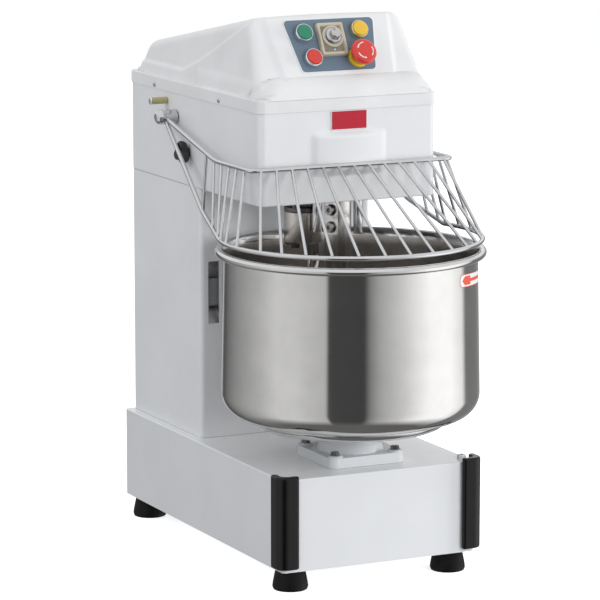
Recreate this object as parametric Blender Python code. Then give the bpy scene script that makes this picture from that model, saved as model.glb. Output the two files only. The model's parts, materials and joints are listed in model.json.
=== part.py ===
"""Spiral dough mixer of the 30 litre class, as separate parts.

Units are metres, +Z is up, -Y is the front where the bowl stands, and +X is the operator's right
when facing the machine. The origin lies on the floor, under the middle of the whole machine's box.
"""

import math

import bmesh
import bpy
from mathutils import Matrix, Vector

# Driving dimensions
GAP = 0.0003  # clearance between parts that touch
SHEET = 0.0025  # thickness of the steel casings

BASE_HALF = 0.160
BASE_FRONT = -0.240
BASE_REAR = 0.3445
BASE_LOW = 0.0325
BASE_TOP = 0.172
BASE_CORNER = 0.005

COLUMN_HALF = 0.1455
COLUMN_FRONT = 0.081
COLUMN_CORNER = 0.008
CASING_REAR = 0.343

HEAD_HALF = 0.147
HEAD_FRONT = -0.1343
HEAD_LOW = 0.5615
HEAD_TOP = 0.6997
HEAD_CORNER = 0.011

COVER_LOW = 0.7000
SKIRT_TOP = 0.7193
SHOULDER = 0.743  # height where the cover's front turns into the sloping panel
COVER_TOP = 0.8368
COVER_TAPER = 0.158  # how far the cover's sides lean in, per metre of height

PANEL_SLOPE = math.radians(61)
PANEL_CENTRE = Vector((0, -0.0834, 0.7913))
PANEL_HEIGHT = 0.0868
PANEL_HALF_TOP = 0.0762
PANEL_HALF_LOW = 0.0628
PLATE = 0.0012

BOWL_Y = -0.141
BOWL_FLOOR = 0.2245
BOWL_BODY = 0.240
BOWL_TOP = 0.4947
BOWL_RADIUS = 0.1945
BOWL_NECK = 0.190
BOWL_WALL = 0.0025
RIM_RADIUS = 0.0062

HOOK_X = -0.016
HOOK_Y = -0.012
HOOK_HUB_LOW = 0.485
HOOK_HUB_TOP = 0.533
HOOK_HUB_RADIUS = 0.029
HOOK_ROD = 0.0098
HOOK_SWEEP = 0.046  # radius of the spiral's centre line
HOOK_LOW = 0.277

BAR_Y = -0.099
BAR_RADIUS = 0.020
BAR_FLAT_TURN = math.radians(204.3)  # which way the flat on the breaker bar faces
BAR_FLAT_DEPTH = 0.016
BAR_FLAT_LOW = 0.510

GUARD_Y = 0.165
GUARD_Z = 0.664
GUARD_WIRE = 0.0035
GUARD_BAR = 0.0024
GUARD_ARM_X = 0.167
GUARD_EDGE = 0.168  # half the width between the front corners
GUARD_TOP_Z = 0.6188
GUARD_FRONT = -0.1490
GUARD_RING = 0.197
GUARD_RING_Z = 0.5085
GUARD_HUB = 0.0115

LAYSHAFT_X = 0.070
LAYSHAFT_Y = 0.130
MOTOR_X = -0.010
MOTOR_Y = 0.235
SPINDLE_RADIUS = 0.0125
LAYSHAFT_RADIUS = 0.010
BOWL_SHAFT_RADIUS = 0.0175

HOOK_PULLEY = 0.085
MOTOR_PULLEY = 0.0275
BELT_LOW = 0.621
BELT_HEIGHT = 0.022
HOOK_SPROCKET_TEETH = 20
LAYSHAFT_WHEEL_TEETH = 52
LAYSHAFT_PINION_TEETH = 18
BOWL_SPROCKET_TEETH = 68
TOOTH_PITCH = 0.008
UPPER_CHAIN_LOW = 0.6725
LOWER_CHAIN_LOW = 0.0985
CHAIN_HEIGHT = 0.008

FOOT_X = 0.1323
FOOT_FRONT = -0.2073
FOOT_REAR = 0.3118

FINISHES = {
    "white_paint": ((0.80, 0.81, 0.82), 0.35, 0.0),
    "cover_plastic": ((0.82, 0.82, 0.83), 0.40, 0.0),
    "stainless": ((0.62, 0.61, 0.60), 0.25, 1.0),
    "chrome": ((0.75, 0.76, 0.77), 0.10, 1.0),
    "dark_steel": ((0.20, 0.19, 0.19), 0.40, 1.0),
    "rubber": ((0.02, 0.02, 0.022), 0.70, 0.0),
    "panel_grey": ((0.09, 0.13, 0.18), 0.45, 0.0),
    "green": ((0.01, 0.30, 0.18), 0.35, 0.0),
    "red": ((0.75, 0.04, 0.03), 0.35, 0.0),
    "yellow": ((0.85, 0.55, 0.03), 0.35, 0.0),
    "beige": ((0.62, 0.57, 0.44), 0.45, 0.0),
    "motor_paint": ((0.12, 0.16, 0.20), 0.45, 0.0),
    "black_plastic": ((0.01, 0.01, 0.01), 0.45, 0.0),
}


def clear_scene():
    for leftover in list(bpy.data.objects):
        bpy.data.objects.remove(leftover)


def material_of(finish):
    """The named finish as a material with one Principled shader."""
    made = bpy.data.materials.get(finish)
    if made:
        return made
    colour, roughness, metallic = FINISHES[finish]
    made = bpy.data.materials.new(finish)
    made.use_nodes = True
    shader = made.node_tree.nodes["Principled BSDF"]
    shader.inputs["Base Color"].default_value = (*colour, 1)
    shader.inputs["Roughness"].default_value = roughness
    shader.inputs["Metallic"].default_value = metallic
    return made


def solid(name, shape, finish="white_paint"):
    """An object of this bmesh, with its faces turned outwards."""
    bmesh.ops.recalc_face_normals(shape, faces=shape.faces)
    mesh = bpy.data.meshes.new(name)
    shape.to_mesh(mesh)
    shape.free()
    mesh.materials.append(material_of(finish))
    made = bpy.data.objects.new(name, mesh)
    bpy.context.scene.collection.objects.link(made)
    return made


def combine(target, tool, operation):
    """Applies a Boolean of the tool to the target, and removes the tool."""
    modifier = target.modifiers.new(operation, "BOOLEAN")
    modifier.operation = operation
    modifier.solver = "EXACT"
    modifier.object = tool
    bpy.context.view_layer.update()
    graph = bpy.context.evaluated_depsgraph_get()
    shaped = bpy.data.meshes.new_from_object(target.evaluated_get(graph))
    target.modifiers.clear()
    target.data = shaped
    bpy.data.objects.remove(tool)


def cut(target, shape):
    combine(target, solid("cutter", shape), "DIFFERENCE")


def join(target, shape):
    combine(target, solid("addition", shape), "UNION")


def placed(shape, matrix):
    bmesh.ops.transform(shape, matrix=matrix, verts=shape.verts)
    return shape


def prism(outline, low, high, axis="Z"):
    """The outline's (u, v) points, extruded along the axis: u and v are XY for Z, XZ for Y, YZ for X."""
    place = {
        "Z": lambda u, v, w: (u, v, w),
        "Y": lambda u, v, w: (u, w, v),
        "X": lambda u, v, w: (w, u, v),
    }[axis]
    shape = bmesh.new()
    ends = [[shape.verts.new(place(u, v, w)) for u, v in outline] for w in (low, high)]
    for ring in ends:
        shape.faces.new(ring)
    count = len(outline)
    for i in range(count):
        after = (i + 1) % count
        shape.faces.new((ends[0][i], ends[0][after], ends[1][after], ends[1][i]))
    return shape


def arc(x, y, radius, start, end, steps):
    """Points on a circle from start to end, in degrees."""
    turns = (math.radians(start + (end - start) * i / steps) for i in range(steps + 1))
    return [(x + radius * math.cos(turn), y + radius * math.sin(turn)) for turn in turns]


def circle(x, y, radius, sides=24):
    return arc(x, y, radius, 0, 360, sides)[:-1]


def rounded_rectangle(left, right, near, far, radius, steps=3):
    corners = (
        (right - radius, near + radius, -90),
        (right - radius, far - radius, 0),
        (left + radius, far - radius, 90),
        (left + radius, near + radius, 180),
    )
    return [
        point for x, y, turn in corners for point in arc(x, y, radius, turn, turn + 90, steps)
    ]


def rectangle(left, right, near, far):
    return [(left, near), (right, near), (right, far), (left, far)]


def block(left, right, near, far, low, high):
    return prism(rectangle(left, right, near, far), low, high)


def rounded_block(left, right, near, far, radius, low, high, steps=3):
    return prism(rounded_rectangle(left, right, near, far, radius, steps), low, high)


def toothed_outline(x, y, teeth, depth=0.003):
    """A sprocket's outline: two points for each tooth, on the circle that its pitch gives."""
    radius = teeth * TOOTH_PITCH / math.tau
    points = []
    for i in range(2 * teeth):
        turn = math.tau * i / (2 * teeth)
        reach = radius if i % 2 else radius - depth
        points.append((x + reach * math.cos(turn), y + reach * math.sin(turn)))
    return points


def lathe(profile, x=0.0, y=0.0, sides=32):
    """Turns (radius, height) points about the vertical line at x, y. A profile that starts and ends on
    the line makes a full body, and one that stays off it makes a ring."""
    shape = bmesh.new()
    rings = []
    for radius, height in profile:
        if radius == 0:
            rings.append([shape.verts.new((x, y, height))] * sides)
        else:
            rings.append([shape.verts.new((*point, height)) for point in circle(x, y, radius, sides)])
    closed = profile[0][0] > 0
    for i in range(len(rings) - 1 + closed):
        first = rings[i]
        second = rings[(i + 1) % len(rings)]
        for j in range(sides):
            after = (j + 1) % sides
            corners = (first[j], first[after], second[after], second[j])
            shape.faces.new(list(dict.fromkeys(corners)))
    return shape


def cylinder(radius, low, high, x=0.0, y=0.0, sides=24):
    return lathe([(0, low), (radius, low), (radius, high), (0, high)], x, y, sides)


def ring(outer, inner, low, high, x=0.0, y=0.0, sides=24):
    return lathe([(inner, low), (outer, low), (outer, high), (inner, high)], x, y, sides)


def tube(points, radius, sides=8):
    """A round wire with flat ends along a line of points."""
    points = [Vector(point) for point in points]
    shape = bmesh.new()
    rings = []
    across = (points[1] - points[0]).orthogonal().normalized()
    for i, point in enumerate(points):
        before = points[max(i - 1, 0)]
        after = points[min(i + 1, len(points) - 1)]
        along = (after - before).normalized()
        across = (across - along * across.dot(along)).normalized()
        up = along.cross(across)
        turns = [math.tau * j / sides for j in range(sides)]
        rings.append(
            [shape.verts.new(point + radius * (math.cos(t) * across + math.sin(t) * up)) for t in turns]
        )
    shape.faces.new(rings[0])
    shape.faces.new(rings[-1])
    for first, second in zip(rings, rings[1:]):
        for j in range(sides):
            after = (j + 1) % sides
            shape.faces.new((first[j], first[after], second[after], second[j]))
    return shape


def belt_outline(first, first_radius, second, second_radius, steps=16):
    """The line of a belt round two wheels, each given by its centre and radius. Its flats clear them."""
    outward = 1 / math.cos(math.radians(100 / steps))
    first_radius *= outward
    second_radius *= outward
    (x1, y1), (x2, y2) = first, second
    along = math.degrees(math.atan2(y2 - y1, x2 - x1))
    distance = math.hypot(x2 - x1, y2 - y1)
    lean = math.degrees(math.acos((first_radius - second_radius) / distance))
    return arc(x1, y1, first_radius, along + lean, along + 360 - lean, steps) + arc(
        x2, y2, second_radius, along - lean, along + lean, steps
    )


def belt(name, first, first_radius, second, second_radius, thickness, low, height, finish):
    """A closed loop round two wheels, a small clearance off both."""
    inside = belt_outline(first, first_radius + GAP, second, second_radius + GAP)
    outside = belt_outline(first, first_radius + GAP + thickness, second, second_radius + GAP + thickness)
    made = solid(name, prism(outside, low, low + height), finish)
    cut(made, prism(inside, low - GAP, low + height + GAP))
    return made


def sprocket_radius(teeth):
    return teeth * TOOTH_PITCH / math.tau


def through(low):
    """A cutter's ends, past both faces of a sprocket whose underside is at this height."""
    return low - CHAIN_HEIGHT, low + 2 * CHAIN_HEIGHT


def axis_at(name, place):
    """An empty on a joint's axis, for the pieces that move about it."""
    empty = bpy.data.objects.new(name, None)
    empty.location = place
    bpy.context.scene.collection.objects.link(empty)
    return empty


def carried_by(empty, *pieces):
    """Parents the pieces to the empty, with each piece's origin moved onto it."""
    for piece in pieces:
        piece.data.transform(Matrix.Translation(-empty.location))
        piece.parent = empty


# Base

def base_housing():
    housing = solid(
        "base_housing",
        rounded_block(-BASE_HALF, BASE_HALF, BASE_FRONT, BASE_REAR, BASE_CORNER, BASE_LOW, BASE_TOP),
    )
    cut(
        housing,
        rounded_block(
            -BASE_HALF + SHEET,
            BASE_HALF - SHEET,
            BASE_FRONT + SHEET,
            BASE_REAR - SHEET,
            BASE_CORNER - SHEET,
            BASE_LOW - SHEET,
            BASE_TOP - SHEET,
        ),
    )
    cut(housing, cylinder(0.034, BASE_TOP - 2 * SHEET, BASE_TOP + SHEET, 0, BOWL_Y))
    cut(housing, cylinder(0.016, BASE_TOP - 2 * SHEET, BASE_TOP + SHEET, LAYSHAFT_X, LAYSHAFT_Y))


def base_bottom_plate():
    inset = SHEET + GAP
    solid(
        "base_bottom_plate",
        rounded_block(
            -BASE_HALF + inset,
            BASE_HALF - inset,
            BASE_FRONT + inset,
            BASE_REAR - inset,
            BASE_CORNER - SHEET,
            BASE_LOW + GAP,
            BASE_LOW + 0.0035,
        ),
    )


def feet():
    """Four rubber cones, wider at the floor."""
    profile = [(0, 0), (0.0262, 0), (0.0268, 0.003), (0.0225, BASE_LOW), (0, BASE_LOW)]
    for side, x in (("left", -FOOT_X), ("right", FOOT_X)):
        for end, y in (("front", FOOT_FRONT), ("rear", FOOT_REAR)):
            solid(f"foot_{end}_{side}", lathe(profile, x, y, 20), "rubber")


def bumpers():
    """Rubber corner strips: two rounded lobes with a flute between them, one lobe on each face."""
    wing = 0.024
    thickness = 0.0105
    half = thickness / 2
    # Measured from the base's corner, with u along the front face and v along the side face.
    outline = (
        [(GAP, GAP), (GAP, wing - half)]
        + arc(-half, wing - half, half, 0, 180, 4)
        + arc(-half, half - 0.001, half, 180, 215, 1)
        + arc(-half - 0.001, -half - 0.001, 0.0045, 120, -30, 4)
        + arc(half - 0.001, -half, half, 235, 270, 1)
        + arc(wing - half, -half, half, -90, 90, 4)
        + [(wing - half, GAP)]
    )
    outline = [(u - GAP, v - GAP) for u, v in dict.fromkeys(outline)]
    for side, facing in (("left", -1), ("right", 1)):
        placed_outline = [(facing * (BASE_HALF - u), BASE_FRONT + v) for u, v in outline]
        solid(f"bumper_{side}", prism(placed_outline, BASE_LOW + 0.006, BASE_TOP + 0.0065), "rubber")


def cable_gland():
    """A gland for the mains lead, under the base near the rear."""
    gland = solid("cable_gland", cylinder(0.012, 0.0215, BASE_LOW, -0.10, 0.26, 6), "black_plastic")
    join(gland, cylinder(0.009, 0.010, 0.0225, -0.10, 0.26, 16))
    cut(gland, cylinder(0.0045, 0.008, BASE_LOW + GAP, -0.10, 0.26, 12))


# Column

def column_housing():
    height = (BASE_TOP + GAP, HEAD_LOW - GAP)
    column = solid(
        "column_housing",
        rounded_block(-COLUMN_HALF, COLUMN_HALF, COLUMN_FRONT, CASING_REAR, COLUMN_CORNER, *height),
    )
    cut(
        column,
        rounded_block(
            -COLUMN_HALF + SHEET,
            COLUMN_HALF - SHEET,
            COLUMN_FRONT + SHEET,
            CASING_REAR - SHEET,
            COLUMN_CORNER - SHEET,
            height[0] - SHEET,
            height[1] + SHEET,
        ),
    )
    cut(column, block(-0.125, 0.125, CASING_REAR - 2 * SHEET, CASING_REAR + SHEET, 0.195, 0.545))
    cut(column, block(-0.1325, -0.1135, COLUMN_FRONT - SHEET, COLUMN_FRONT + 2 * SHEET, 0.351, 0.448))


def slot_liner():
    """A folded pan that closes the slot beside the bowl from behind."""
    front = COLUMN_FRONT + SHEET + GAP
    liner = solid("slot_liner", block(-0.1370, -0.1060, front, front + 0.022, 0.340, 0.459), "dark_steel")
    cut(liner, block(-0.1350, -0.1080, front - GAP, front + 0.020, 0.342, 0.457))


def rear_cover():
    """The rear panel of the column and head, with cooling louvres."""
    near = CASING_REAR + GAP
    cover = solid("rear_cover", block(-0.138, 0.138, near, BASE_REAR, 0.182, 0.690))
    for i in range(8):
        low = 0.300 + 0.022 * i
        cut(cover, block(-0.060, 0.060, near - SHEET, BASE_REAR + SHEET, low, low + 0.006))


# Head

def head_casing():
    """The sheet casing that holds the hook's drive, with a raised bulge on its front."""
    head = solid(
        "head_casing",
        rounded_block(-HEAD_HALF, HEAD_HALF, HEAD_FRONT, CASING_REAR, HEAD_CORNER, HEAD_LOW, HEAD_TOP, 4),
    )
    bulge_half = 0.062
    bulge_depth = 0.010
    bulge_low = 0.603
    bulge_top = 0.667
    radius = (bulge_half**2 + bulge_depth**2) / (2 * bulge_depth)
    spread = math.degrees(math.asin(bulge_half / radius))
    front = arc(0, HEAD_FRONT - bulge_depth + radius, radius, 270 - spread, 270 + spread, 10)
    join(head, prism(front + [(bulge_half, HEAD_FRONT + SHEET), (-bulge_half, HEAD_FRONT + SHEET)], bulge_low, bulge_top))
    cut(
        head,
        rounded_block(
            -HEAD_HALF + SHEET,
            HEAD_HALF - SHEET,
            HEAD_FRONT + SHEET,
            CASING_REAR - SHEET,
            HEAD_CORNER - SHEET,
            HEAD_LOW + SHEET,
            HEAD_TOP + SHEET,
            4,
        ),
    )
    floor_cut = (HEAD_LOW - SHEET, HEAD_LOW + 2 * SHEET)
    cut(head, block(-0.120, 0.120, COLUMN_FRONT + 0.015, CASING_REAR - 0.015, *floor_cut))
    cut(head, cylinder(0.024, *floor_cut, HOOK_X, HOOK_Y))
    cut(head, block(-0.125, 0.125, CASING_REAR - 2 * SHEET, CASING_REAR + SHEET, 0.580, 0.680))
    cut(head, prism(circle(GUARD_Y, GUARD_Z, 0.0068), -0.16, 0.16, "X"))
    cut(head, prism(circle(0.120, 0.613, 0.0056, 16), -0.16, -0.13, "X"))


def head_top_plate():
    """The bearing and electrics plate across the top of the head."""
    inset = SHEET + GAP
    plate = solid(
        "head_top_plate",
        rounded_block(
            -HEAD_HALF + inset, HEAD_HALF - inset, HEAD_FRONT + inset, 0.300, HEAD_CORNER, 0.684, 0.688
        ),
        "dark_steel",
    )
    cut(plate, cylinder(SPINDLE_RADIUS + 0.0035, 0.680, 0.692, HOOK_X, HOOK_Y))
    cut(plate, cylinder(LAYSHAFT_RADIUS + 0.0035, 0.680, 0.692, LAYSHAFT_X, LAYSHAFT_Y))


def side_slope(height):
    """Half the cover's width at this height."""
    return 0.142 - COVER_TAPER * (height - SKIRT_TOP)


def cover_body(inset):
    """The cover above its skirt: a side profile whose width follows the lean of the sides."""
    lean = 1 / math.tan(PANEL_SLOPE)
    plane_y = PANEL_CENTRE.y + (PLATE + GAP) / math.sin(PANEL_SLOPE)
    ledge = SHOULDER + 0.0015
    low = SKIRT_TOP - 0.002 - inset
    profile = [
        (-0.133 + inset, low),
        (-0.1165 + inset, SHOULDER),
        (plane_y + (ledge - PANEL_CENTRE.z) * lean + 1.3 * inset, ledge),
        (plane_y + (COVER_TOP - PANEL_CENTRE.z) * lean + 1.5 * inset, COVER_TOP - inset),
        (0.300 - inset, 0.7705 - inset),
        (0.328 - inset, low),
    ]
    shape = prism(profile, -1, 1, "X")
    for vertex in shape.verts:
        vertex.co.x *= side_slope(vertex.co.z) - inset
    return shape


def panel_frame(height=0.0):
    """The matrix from the control panel's own X, up-slope and outward axes to the machine's."""
    up_slope = Vector((0, math.cos(PANEL_SLOPE), math.sin(PANEL_SLOPE)))
    outward = Vector((0, -math.sin(PANEL_SLOPE), math.cos(PANEL_SLOPE)))
    turned = Matrix((Vector((1, 0, 0)), up_slope, outward)).transposed().to_4x4()
    return Matrix.Translation(PANEL_CENTRE + outward * height) @ turned


def on_panel(shape, x=0.0, up=0.0):
    """Moves a shape made about the origin to a place on the control panel."""
    return placed(shape, panel_frame() @ Matrix.Translation((x, up, 0)))


CONTROLS = {
    "start": (-0.0476, 0.0186, "green"),
    "stop": (-0.0408, -0.0218, "red"),
    "jog": (0.0450, 0.0203, "yellow"),
}
ESTOP_PLACE = (0.0351, -0.0227)
TIMER_PLACE = (-0.0028, 0.0075)
TIMER_DIAL = (-0.0020, 0.0105)
CONTROL_HOLE = 0.0112
TIMER_HALF = (0.0217, 0.0260)


def panel_holes():
    """Cutters for what passes through the control panel."""
    places = [(x, up) for x, up, _ in CONTROLS.values()] + [ESTOP_PLACE]
    for x, up in places:
        yield on_panel(cylinder(CONTROL_HOLE, -0.014, 0.004, sides=20), x, up)
    half_x, half_up = (half - 0.003 for half in TIMER_HALF)
    yield on_panel(block(-half_x, half_x, -half_up, half_up, -0.014, 0.004), *TIMER_PLACE)


def top_cover():
    """The moulded cover over the head: a skirt, a sloping body, and sunk corners beside the panel."""
    skirt = prism(rounded_rectangle(-0.1484, 0.1484, -0.1358, BASE_REAR, 0.0124, 4), COVER_LOW, SKIRT_TOP)
    cover = solid("top_cover", cover_body(0), "cover_plastic")
    edges = bmesh.new()
    edges.from_mesh(cover.data)
    upper = [edge for edge in edges.edges if min(v.co.z for v in edge.verts) > SHOULDER + 0.001]
    bmesh.ops.bevel(edges, geom=upper, offset=0.009, segments=3, affect="EDGES", profile=0.5)
    edges.to_mesh(cover.data)
    edges.free()
    join(cover, skirt)
    for side in (-1, 1):
        corner = [
            (side * 0.0870, -0.0560),
            (side * 0.1500, -0.0560),
            (side * 0.1500, 0.0800),
            (side * 0.1000, 0.0800),
            (side * 0.0985, 0.0460),
        ]
        cut(cover, on_panel(prism(corner, -0.0055, 0.020)))
    wall = 0.005
    cut(cover, block(-0.1440, 0.1440, -0.1310, 0.3400, COVER_LOW - SHEET, SKIRT_TOP - 0.0035))
    cut(cover, cover_body(wall))
    for hole in panel_holes():
        cut(cover, hole)


def control_plate():
    """The dark plate round the controls, a trapezium with rounded corners."""
    half = PANEL_HEIGHT / 2
    radius = 0.008
    lean = math.degrees(math.atan2(PANEL_HALF_TOP - PANEL_HALF_LOW, PANEL_HEIGHT))
    outline = (
        arc(PANEL_HALF_LOW - radius, -half + radius, radius, -90, lean * -1, 3)
        + arc(PANEL_HALF_TOP - radius - 0.001, half - radius, radius, lean * -1, 90, 3)
    )
    outline += [(-x, up) for x, up in reversed(outline)]
    plate = solid("control_plate", on_panel(prism(outline, -PLATE, 0)), "panel_grey")
    for hole in panel_holes():
        cut(plate, hole)


# Controls

def push_button(name, x, up, finish):
    """A flush push button in its ring, with the contact barrel behind the panel."""
    barrel = CONTROL_HOLE - 0.0006
    bezel = [
        (0, -0.030),
        (barrel, -0.030),
        (barrel, GAP),
        (0.0143, GAP),
        (0.0141, 0.0085),
        (0.0132, 0.0100),
        (0.0121, 0.0100),
        (0.0121, 0.0015),
        (0, 0.0015),
    ]
    solid(f"{name}_bezel", on_panel(lathe(bezel, sides=20), x, up), "chrome")
    cap = [(0, 0.0050), (0.0117, 0.0050), (0.0117, 0.0112), (0.0105, 0.0122), (0, 0.0122)]
    button = solid(f"{name}_button", on_panel(lathe(cap, sides=20), x, up), finish)
    carried_by(axis_at(f"{name}_axis", panel_frame() @ Vector((x, up, 0))), button)


def emergency_stop():
    """A mushroom head on a stem that slides in a yellow collar. The head also twists on the stem."""
    x, up = ESTOP_PLACE
    barrel = CONTROL_HOLE - 0.0006
    collar = [
        (0, -0.040),
        (barrel, -0.040),
        (barrel, GAP),
        (0.0160, GAP),
        (0.0160, 0.0040),
        (0.0148, 0.0058),
        (0.0088, 0.0058),
        (0.0088, -0.012),
        (0, -0.012),
    ]
    solid("estop_collar", on_panel(lathe(collar, sides=24), x, up), "yellow")
    stem = solid("estop_stem", on_panel(cylinder(0.0083, -0.0055, 0.0150, sides=16), x, up), "black_plastic")
    head = [
        (0, 0.0153),
        (0.0150, 0.0153),
        (0.0196, 0.0185),
        (0.0203, 0.0220),
        (0.0192, 0.0262),
        (0.0150, 0.0285),
        (0, 0.0290),
    ]
    mushroom = solid("estop_head", on_panel(lathe(head, sides=24), x, up), "red")
    carried_by(axis_at("estop_axis", panel_frame() @ Vector((x, up, 0))), stem, mushroom)


def timer():
    """A square timer with a round dial plate and a knob that turns."""
    half_x, half_up = TIMER_HALF
    x, up = TIMER_PLACE
    outline = rounded_rectangle(-half_x, half_x, -half_up, half_up, 0.002, 2)
    body = solid("timer_bezel", on_panel(prism(outline, GAP, 0.0080), x, up), "beige")
    inner_x = half_x - 0.0045
    inner_up = half_up - 0.0045
    cut(body, on_panel(block(-inner_x, inner_x, -inner_up, inner_up, 0.0050, 0.0100), x, up))
    back_x, back_up = (half - 0.0036 for half in TIMER_HALF)
    join(body, on_panel(block(-back_x, back_x, -back_up, back_up, -0.045, 0.0010), x, up))
    join(body, on_panel(cylinder(0.0172, 0.0040, 0.0092, sides=24), *TIMER_DIAL))
    profile = [
        (0, 0.0096),
        (0.0130, 0.0096),
        (0.0126, 0.0130),
        (0.0088, 0.0140),
        (0.0082, 0.0210),
        (0.0068, 0.0226),
        (0, 0.0230),
    ]
    knob = solid("timer_knob", on_panel(lathe(profile, sides=20), *TIMER_DIAL), "chrome")
    carried_by(axis_at("timer_axis", panel_frame() @ Vector((*TIMER_DIAL, 0))), knob)


def side_knob():
    """A lobed hand knob on the head's left side, that tightens the drive belt."""
    y, z = 0.120, 0.613
    lobe_turn = math.radians(100)
    outline = []
    for i in range(30):
        turn = math.tau * i / 30
        reach = 0.0150 + 0.0045 * math.cos(3 * (turn - lobe_turn))
        outline.append((y + reach * math.cos(turn), z + reach * math.sin(turn)))
    knob = solid("side_knob", prism(outline, -HEAD_HALF - 0.0175, -HEAD_HALF - 0.0035, "X"), "black_plastic")
    join(knob, prism(circle(y, z, 0.009, 16), -HEAD_HALF - 0.0045, -HEAD_HALF - GAP, "X"))
    join(knob, prism(circle(y, z, 0.0050, 12), -HEAD_HALF - 0.0010, -HEAD_HALF + 0.018, "X"))
    carried_by(axis_at("side_knob_axis", (-HEAD_HALF, y, z)), knob)


# Bowl

def bowl():
    """A turned bowl with a rolled rim and a dished foot."""
    wall = BOWL_WALL
    fillet = 0.036
    dish = 0.016
    dish_at = 0.132
    flat = BOWL_RADIUS - fillet
    bead_z = BOWL_TOP - RIM_RADIUS
    bead_at = BOWL_NECK + 0.0073
    outside = [(0, BOWL_FLOOR)]
    outside += arc(dish_at, BOWL_FLOOR + dish, dish, -90, 0, 3)
    outside += arc(flat, BOWL_BODY + fillet, fillet, -90, 0, 4)
    outside += arc(bead_at, bead_z, RIM_RADIUS, 215, 500, 7)
    inside = [(BOWL_NECK - wall, bead_z - 0.004)]
    inside += arc(flat, BOWL_BODY + fillet, fillet - wall, 0, -90, 4)
    inside += arc(dish_at, BOWL_FLOOR + dish, dish - wall, 0, -90, 3)
    inside += [(0, BOWL_FLOOR + wall)]
    made = solid("bowl", lathe(outside + inside, 0, BOWL_Y, 48), "stainless")
    flange_top = BOWL_FLOOR - GAP
    shaft = [
        (0, 0.088),
        (BOWL_SHAFT_RADIUS, 0.088),
        (BOWL_SHAFT_RADIUS, 0.2145),
        (0.045, 0.2170),
        (0.045, flange_top),
        (0, flange_top),
    ]
    stub = solid("bowl_shaft", lathe(shaft, 0, BOWL_Y, 24), "dark_steel")
    sprocket = solid(
        "bowl_sprocket",
        prism(toothed_outline(0, BOWL_Y, BOWL_SPROCKET_TEETH), LOWER_CHAIN_LOW, LOWER_CHAIN_LOW + CHAIN_HEIGHT),
        "dark_steel",
    )
    cut(sprocket, cylinder(BOWL_SHAFT_RADIUS + GAP, *through(LOWER_CHAIN_LOW), 0, BOWL_Y))
    carried_by(axis_at("bowl_axis", (0, BOWL_Y, BOWL_TOP)), made, stub, sprocket)


def bowl_support():
    """The cast pedestal on the base: a square flange with bossed corners and a round bearing hub."""
    half = 0.050
    boss = 0.0125
    top = BASE_TOP + 0.0165
    low = BASE_TOP + GAP
    casting = solid(
        "bowl_support",
        block(-half - 0.010, half + 0.010, BOWL_Y - half - 0.010, BOWL_Y + half + 0.010, low, top),
    )
    for x in (-half, half):
        for y in (BOWL_Y - half, BOWL_Y + half):
            join(casting, cylinder(boss, low, top + 0.0018, x, y, 16))
    join(casting, lathe([(0, low), (0.050, low), (0.0490, 0.200), (0.046, 0.212), (0, 0.212)], 0, BOWL_Y, 32))
    cut(casting, cylinder(0.0315, low - SHEET, 0.215, 0, BOWL_Y))
    solid("bowl_bearing", ring(0.0312, BOWL_SHAFT_RADIUS + GAP, 0.180, 0.205, 0, BOWL_Y), "chrome")


# Hook and breaker bar

def spiral_path():
    """The dough hook's centre line: a short shank, a spiral turn outwards, and a level foot."""
    shank = 0.014
    start = math.radians(-30)
    points = []
    for height in (HOOK_HUB_LOW + 0.010, 0.462):
        points.append((shank, start, height))
    for i in range(1, 15):
        share = i / 14
        spread = math.sin(share * math.pi / 2)
        points.append((shank + (HOOK_SWEEP - shank) * spread, start - math.tau * 0.92 * share, 0.462 - (0.462 - HOOK_LOW) * share**1.1))
    last = points[-1][1]
    for i in range(1, 6):
        points.append((HOOK_SWEEP - 0.0028 * i, last - math.radians(20) * i, HOOK_LOW))
    return [(HOOK_X + r * math.cos(t), HOOK_Y + r * math.sin(t), z) for r, t, z in points]


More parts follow.
